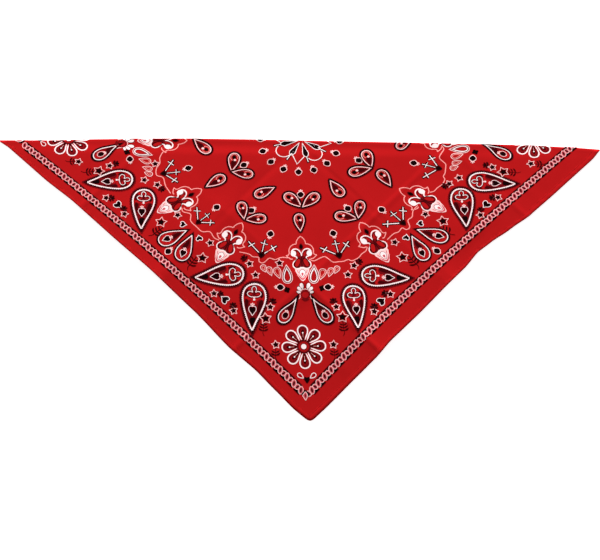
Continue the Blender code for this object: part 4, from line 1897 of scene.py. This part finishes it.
@dataclass
class Field(PrintPart):
    """The drops in the field between the middle and the ring."""

    # tip across, tip up, degrees to the left from pointing up, size
    PAIRS: ClassVar[tuple[tuple[float, ...], ...]] = (
        (-59.5, -33.9, -9.5, 1.06), (-59.5, -33.9, -99.7, 0.99),
        (-48.8, -83.6, 8.2, 0.96), (-48.8, -83.6, -85.6, 0.99),
        (1.3, -71.5, 45.4, 1.06), (1.3, -71.5, -44.7, 1.04),
        (49.4, -83.2, 79.5, 1.06), (49.4, -83.2, -7.8, 0.96),
        (62.1, -30.4, 105.5, 1.07), (62.1, -30.4, 17.0, 1.03),
    )
    SINGLES: ClassVar[tuple[tuple[float, ...], ...]] = (
        (-81.4, -50.8, -51.0, 1.06), (79.2, -49.3, 34.5, 1.03),
        (-22.4, -49.4, 121.7, 1.03), (24.7, -43.5, -143.0, 1.05),
        (0.6, -95.9, 8.4, 0.95), (-93.0, 1.1, -134.2, 1.07), (96.7, 4.0, 138.6, 0.95),
    )
    # across, up, degrees to the left from pointing up
    SEEDS: ClassVar[tuple[tuple[float, ...], ...]] = (
        (-48.6, -26.6, -56.0), (-42.4, -74.2, -52.0), (0.3, -57.9, 0.0),
        (40.6, -72.5, 35.0), (50.7, -22.1, 45.0),
    )

    # groups of the hidden half: bearing, how far out the pair, the seed and the single are, the single's turn
    HIDDEN: ClassVar[tuple[tuple[float, ...], ...]] = (
        (120.0, 70.0, 57.6, 98.0, 180.0), (180.0, 70.0, 57.6, 98.0, 180.0), (240.0, 70.0, 57.6, 98.0, 180.0),
        (150.0, 97.0, 84.6, 49.0, 0.0), (210.0, 97.0, 84.6, 49.0, 0.0),
    )
    PAIR_TURNS: ClassVar[tuple[float, float]] = (133.0, 227.0)

    name: str = "print_field"

    def spots(self) -> list[Spot]:
        """Give the places of the field's drops and seeds: the upper half listed one by one, the hidden half
        even.

        Returns:
            The places in the order of painting.
        """
        plain, bent = small_drop(), small_drop(-1.2)
        places = [Spot(plain, x, y, turn, size) for x, y, turn, size in self.PAIRS]
        places += [Spot(bent, x, y, turn, size) for x, y, turn, size in self.SINGLES]
        places += [Spot(seed(), x, y, turn) for x, y, turn in self.SEEDS]
        for bearing, pair_out, seed_out, single_out, single_turn in self.HIDDEN:
            places += [at_bearing(plain, pair_out, bearing, side) for side in self.PAIR_TURNS]
            places.append(at_bearing(seed(), seed_out, bearing, 180.0))
            places.append(at_bearing(bent, single_out, bearing, single_turn))
        return places


@dataclass
class Middle(PrintPart):
    """The medallion: eight spearheads, four loops, four points and a ring of sixteen seeds."""

    name: str = "print_middle"
    turn: float = -8.3
    aside: float = 1.2
    seed_radius: float = 34.2
    seed_turn: float = -2.2

    def spots(self) -> list[Spot]:
        """Give the places of the medallion's motifs, turned and moved a little from the print's middle.

        Returns:
            The places in the order of painting.
        """
        places = [at_bearing(middle_loop(), 0.0, 45.0 + 90.0 * number) for number in range(4)]
        places += [at_bearing(middle_point(), 0.0, 90.0 * number) for number in range(4)]
        places += [at_bearing(spearhead(), 0.0, 22.5 + 45.0 * number) for number in range(8)]
        places = [replace(spot.spun(self.turn), x=self.aside) for spot in places]
        bearings = [22.5 * number + self.seed_turn for number in range(16)]
        return places + [at_bearing(seed(), self.seed_radius, bearing, 180.0) for bearing in bearings]


# ---- Cloth, hems and thread


@dataclass(frozen=True)
class SkinGrid:
    """The point numbers of a skin: a triangle of points for each half and rows of them round the fold."""

    index: Array
    half_points: int
    arc_steps: int

    def strips(self) -> list[Array]:
        """List the rows of points round the fold, from the front half's edge to the back half's.

        Returns:
            The point numbers of each row.
        """
        fold = np.fliplr(self.index).diagonal()
        steps = np.arange(len(fold)) + 2 * self.half_points
        between = [steps + len(fold) * row for row in range(self.arc_steps - 1)]
        return [fold, *between, fold + self.half_points]

    def faces(self) -> Array:
        """List the faces of the skin.

        Returns:
            Rows of three point numbers.
        """
        index, count = self.index, len(self.index)
        half, turn = [], []
        for row in range(count - 1):
            for column in range(count - 1 - row):
                right, left = index[row + 1, column], index[row, column + 1]
                half.append((index[row, column], right, left))
                if row + column < count - 2:
                    half.append((right, index[row + 1, column + 1], left))
        strips = self.strips()
        for upper, lower in zip(strips, strips[1:]):
            for step in range(count - 1):
                turn.append((upper[step + 1], lower[step + 1], upper[step]))
                turn.append((lower[step + 1], lower[step], upper[step]))
        front = np.array(half)
        return np.concatenate((front, front[:, ::-1] + self.half_points, np.array(turn)))

    def border(self) -> list[tuple[int, int]]:
        """List the free edges of the skin: both sides of both halves and the ends of the turn.

        Returns:
            Pairs of point numbers.
        """
        index, edges = self.index, []
        for step in range(len(index) - 1):
            for near, far in ((index[step + 1, 0], index[step, 0]), (index[0, step], index[0, step + 1])):
                edges += [(near, far), (far + self.half_points, near + self.half_points)]
        for end in (0, -1):
            run = [strip[end] for strip in self.strips()]
            edges += list(zip(run, run[1:]))
        return edges


@dataclass
class Cloth:
    """The folded square as one closed thin shell."""

    name: str = "bandana_cloth"
    plain_steps: int = 120
    arc_steps: int = 8
    end_rows: tuple[float, ...] = (0.004, 0.008, 0.016)
    crease_rows: tuple[float, ...] = (0.0, 0.0028, 0.0055, 0.008, 0.011)
    closest_rows: float = 0.0019

    def stations(self, lie: Lie) -> Array:
        """Give shares of a side with more rows beside the creases and at the ends.

        Args:
            lie: how the cloth lies.

        Returns:
            Rising shares from 0 to 1 that read the same from both ends.
        """
        shares = {*self.end_rows, *np.round(np.linspace(0, 1, self.plain_steps + 1), 6).tolist()}
        for crease in range(1, lie.crease_parts):
            for offset in self.crease_rows:
                shares.update(round(crease / lie.crease_parts + side * offset, 6) for side in (-1, 1))
        kept = [0.0]
        for share in sorted(shares):
            if share - kept[-1] > self.closest_rows and share < 0.5 - self.closest_rows / 2:
                kept.append(share)
        half = np.array(kept)
        return np.concatenate((half, (0.5,), 1 - half[::-1]))

    def build(self, lie: Lie) -> Object:
        """Build the shell: an outer and an inner skin, each going round the fold, joined along the hems.

        Args:
            lie: how the cloth lies.

        Returns:
            The cloth as a mesh object.
        """
        shares = self.stations(lie)
        rows, columns = np.indices((len(shares), len(shares)))
        inside = rows + columns < len(shares)
        index = np.full(inside.shape, -1)
        index[inside] = np.arange(inside.sum())
        a, b = shares[rows[inside]], shares[columns[inside]]
        outer, inner = (self.skin(lie, a, b, inset) for inset in (0.0, lie.wall))
        grid = SkinGrid(index, len(a), self.arc_steps)
        faces = grid.faces()
        rim = []
        for near, far in grid.border():
            rim += [(near, far, far + len(outer)), (near, far + len(outer), near + len(outer))]
        faces = np.concatenate((faces, faces[:, ::-1] + len(outer), np.array(rim)))
        mesh = mesh_from(self.name, np.concatenate((outer, inner)) - lie.centre, faces, [RED_COTTON])
        return finished_piece(mesh, closed=True)

    def skin(self, lie: Lie, a: Array, b: Array, inset: float) -> Array:
        """Place one skin's points: the front half, the back half and the rows between them at the fold.

        Args:
            lie: how the cloth lies.
            a: shares towards the right corner of a half's points.
            b: their shares towards the left corner.
            inset: how far the skin lies inside the cloth's outer face.

        Returns:
            Rows of x, y and z.
        """
        front = lie.lay(a, b, lie.front_reach)
        back = lie.lay(a, b, lie.back_reach)
        points = [
            np.column_stack((front, lie.front_top + lie.relief(front) - inset)),
            np.column_stack((back, np.full(len(a), lie.base + inset))),
        ]
        radius = lie.turn_radius - inset
        x, y = front[a + b > 1 - self.closest_rows].T
        for angle in math.pi * np.arange(1, self.arc_steps) / self.arc_steps:
            level = lie.base + lie.turn_radius + radius * math.cos(angle)
            points.append(np.column_stack((x, y + radius * math.sin(angle), np.full(len(x), level))))
        return np.concatenate(points)


def ring_faces(rings: int, sides: int, first: int = 0) -> list[tuple[int, int, int]]:
    """List the faces of a closed bar made of rings of points.

    Args:
        rings: how many rings it has.
        sides: points in each ring.
        first: the number of its first point.

    Returns:
        Rows of three point numbers.
    """
    last = first + (rings - 1) * sides
    faces = []
    for start in range(first, last, sides):
        for corner in range(sides):
            near, side = start + corner, start + (corner + 1) % sides
            faces += [(near, near + sides, side), (side, near + sides, side + sides)]
    for end in (first, last):
        faces += [(end, end + corner, end + corner + 1) for corner in range(1, sides - 1)]
    return faces


@dataclass
class SideTrim:
    """What follows one side of one half of the cloth."""

    name: str
    front: bool
    right: bool

    def plane(self, lie: Lie, run: Array, inward: float) -> Array:
        """Place points in the plane beside the side.

        Args:
            lie: how the cloth lies.
            run: shares along the side, from the tip.
            inward: the share that they stand in from the side.

        Returns:
            Rows of x and y.
        """
        beside = np.full_like(run, inward)
        a, b = (run, beside) if self.right else (beside, run)
        return lie.lay(a, b, lie.front_reach if self.front else lie.back_reach)


@dataclass
class Hem(SideTrim):
    """One turned hem: a rounded strip along a side of one half, with a groove under its stitches."""

    width: float = 0.0065
    steps: int = 190
    pucker: float = 0.00010
    fine_waves: float = 411.0
    wandering: float = 3.0
    wander_waves: float = 57.0
    broad_share: float = 0.6
    broad_waves: float = 233.0
    broad_start: float = 1.3
    back_sink: float = 0.0001
    back_share: float = 25 / 26
    above_table: float = 0.00002
    # shares of the width from the edge and of the height, round the strip
    section: tuple[tuple[float, float], ...] = (
        (0.00, 0.20), (0.02, 0.62), (0.08, 0.92), (0.20, 1.00), (0.45, 0.97), (0.70, 0.94), (0.80, 0.80),
        (0.86, 0.74), (0.91, 0.88), (0.96, 0.86), (1.00, 0.55), (1.00, 0.00), (0.50, 0.00), (0.00, 0.00),
    )

    def build(self, lie: Lie) -> Object:
        """Build the strip.

        Args:
            lie: how the cloth lies.

        Returns:
            The hem as a mesh object.
        """
        share = self.width / lie.cut_side
        along = np.linspace(0.0, 1.0, self.steps + 1)
        wave = np.sin(along * self.fine_waves + self.wandering * np.sin(along * self.wander_waves))
        wave = wave + self.broad_share * np.sin(along * self.broad_waves + self.broad_start)
        corners = []
        for out, high in self.section:
            inward = share * out
            plane = self.plane(lie, inward + (1 - 2 * inward) * along, inward)
            height = (lie.hem_thickness + self.pucker * wave) * high
            if self.front:
                level = lie.front_top - lie.hem_sink + lie.relief(plane) + height
            else:
                level = lie.base - self.back_sink + height * self.back_share
            corners.append(np.column_stack((plane, np.maximum(level, self.above_table))))
        points = np.stack(corners, axis=1).reshape(-1, 3)
        faces = np.array(ring_faces(self.steps + 1, len(self.section)))
        return finished_piece(mesh_from(self.name, points - lie.centre, faces, [HEM_COTTON]), closed=True)


@dataclass
class Stitches(SideTrim):
    """The row of stitches that holds one hem."""

    from_edge: float = 0.0055
    pitch: float = 0.0030
    length: float = 0.0023
    radius: float = 0.00018
    sides: int = 6
    swell: tuple[float, ...] = (0.35, 0.9, 1.0, 0.9, 0.35)
    share_of_hem: float = 0.80
    back_level: float = 0.00020

    def build(self, lie: Lie) -> Object:
        """Build the stitches as small rounded bars along the hem.

        Args:
            lie: how the cloth lies.

        Returns:
            All of one hem's stitches as a mesh object.
        """
        share = self.from_edge / lie.cut_side
        count = int((lie.cut_side - 2 * self.from_edge) / self.pitch)
        half = self.length / lie.cut_side / 2
        angle = np.arange(self.sides) * 2 * math.pi / self.sides
        rings, faces = [], []
        for number in range(count):
            middle = share + ((number + 0.5) / count) * (1 - 2 * share)
            plane = self.plane(lie, np.linspace(middle - half, middle + half, len(self.swell)), share)
            level = np.full(len(plane), self.back_level)
            if self.front:
                level = lie.front_top - lie.hem_sink + lie.relief(plane)
                level = level + lie.hem_thickness * self.share_of_hem
            heading = (plane[-1] - plane[0]) / np.linalg.norm(plane[-1] - plane[0])
            across = np.array((-heading[1], heading[0]))
            faces += ring_faces(len(plane), self.sides, len(rings) * self.sides)
            for place, high, swell in zip(plane, level, self.swell):
                ring = place + np.outer(np.cos(angle) * self.radius * swell, across)
                rings.append(np.column_stack((ring, high + np.sin(angle) * self.radius * swell)))
        points = np.concatenate(rings) - lie.centre
        return finished_piece(mesh_from(self.name, points, np.array(faces), [RED_THREAD]), closed=True)


# ---- Studio


@dataclass
class Studio:
    """A white table, a broad low light from behind and a camera straight above."""

    camera_height: float = 4.0
    seen_width: float = 0.8064
    aim: tuple[float, float] = (0.00067, -0.00047)
    sensor: float = 36.0
    sight: float = 20.0
    table_half: float = 3.0
    table_colour: tuple[float, float, float] = (0.93, 0.93, 0.93)
    table_glow: float = 0.72
    key_light: float = 0.72
    key_bearing: float = 100.0
    key_elevation: float = 15.0
    key_spread: float = 20.0
    sky: float = 0.385

    def build(self) -> None:
        """Set up the table, the light, the world and the camera."""
        self.table()
        self.key()
        world = bpy.data.worlds.new("studio")
        world.use_nodes = True
        backdrop = world.node_tree.nodes["Background"]
        set_inputs(backdrop, {"Color": (1.0, 1.0, 1.0, 1.0), "Strength": self.sky})
        bpy.context.scene.world = world
        lens = bpy.data.cameras.new("camera")
        lens.sensor_width = self.sensor
        lens.lens = self.sensor * self.camera_height / self.seen_width
        lens.clip_end = self.sight
        camera = placed("camera", lens)
        camera.location = (*self.aim, self.camera_height)
        bpy.context.scene.camera = camera

    def table(self) -> None:
        """Build the white table."""
        half = self.table_half
        mesh = bpy.data.meshes.new("table")
        corners = [(-half, -half, 0), (half, -half, 0), (half, half, 0), (-half, half, 0)]
        mesh.from_pydata(corners, [], [(0, 1, 2, 3)])
        finish = bpy.data.materials.new("table_white")
        finish.use_nodes = True
        shader = finish.node_tree.nodes["Principled BSDF"]
        set_inputs(shader, {"Base Color": (*self.table_colour, 1.0), "Emission Color": (1.0, 1.0, 1.0, 1.0)})
        dull = {"Roughness": 1.0, "Specular IOR Level": 0.0, "Emission Strength": self.table_glow}
        set_inputs(shader, dull)
        mesh.materials.append(finish)
        table = placed("table", mesh)

    def key(self) -> None:
        """Hang the broad light far away; it gives the flat cloth the same light whatever its elevation."""
        bearing, rise = math.radians(self.key_bearing), math.radians(self.key_elevation)
        level = math.cos(rise)
        towards = Vector((level * math.cos(bearing), level * math.sin(bearing), math.sin(rise)))
        light = bpy.data.lights.new("key", "SUN")
        light.energy = self.key_light * math.pi / math.sin(rise)
        light.angle = math.radians(self.key_spread)
        lamp = placed("key", light)
        lamp.location = towards * self.camera_height
        lamp.rotation_euler = towards.to_track_quat("Z", "Y").to_euler()


@dataclass
class Bandana:
    """The whole bandana: cloth, hems, stitches and print."""

    lie: Lie
    chart: PrintMap

    def build(self) -> list[Object]:
        """Build every piece and say how each one belongs.

        Returns:
            The pieces.
        """
        cloth = Cloth().build(self.lie)
        hems, threads = [], []
        for front in (True, False):
            for right in (False, True):
                half = "front" if front else "back"
                side = "right" if right else "left"
                hem = Hem(f"bandana_hem_{half}_{side}", front, right).build(self.lie)
                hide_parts(f"hem_{half}_{side}")
                hems.append(hem)
                threads.append(Stitches(f"stitches_{half}_{side}", front, right).build(self.lie))
        parts = (ChainBorder(), Corners(), Ring(), Field(), Middle())
        inks = [part.build(self.lie, self.chart) for part in parts]
        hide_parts("cloth")
        side = self.lie.cut_side
        everything = [cloth, *hems, *threads, *inks]
        for piece in everything:
            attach(piece, "root")
        return everything


def main() -> None:
    """Build the bandana and report its pieces, build the studio, and set the view transform."""
    logging.basicConfig(level=logging.INFO, format="%(name)s: %(message)s")
    for piece in Bandana(Lie(), PrintMap()).build():
        LOG.info("%s: %d triangles", piece.name, len(piece.data.polygons))
    Studio().build()
    scene = bpy.context.scene
    scene.view_settings.view_transform = "Standard"


if __name__ == "__main__":
    main()
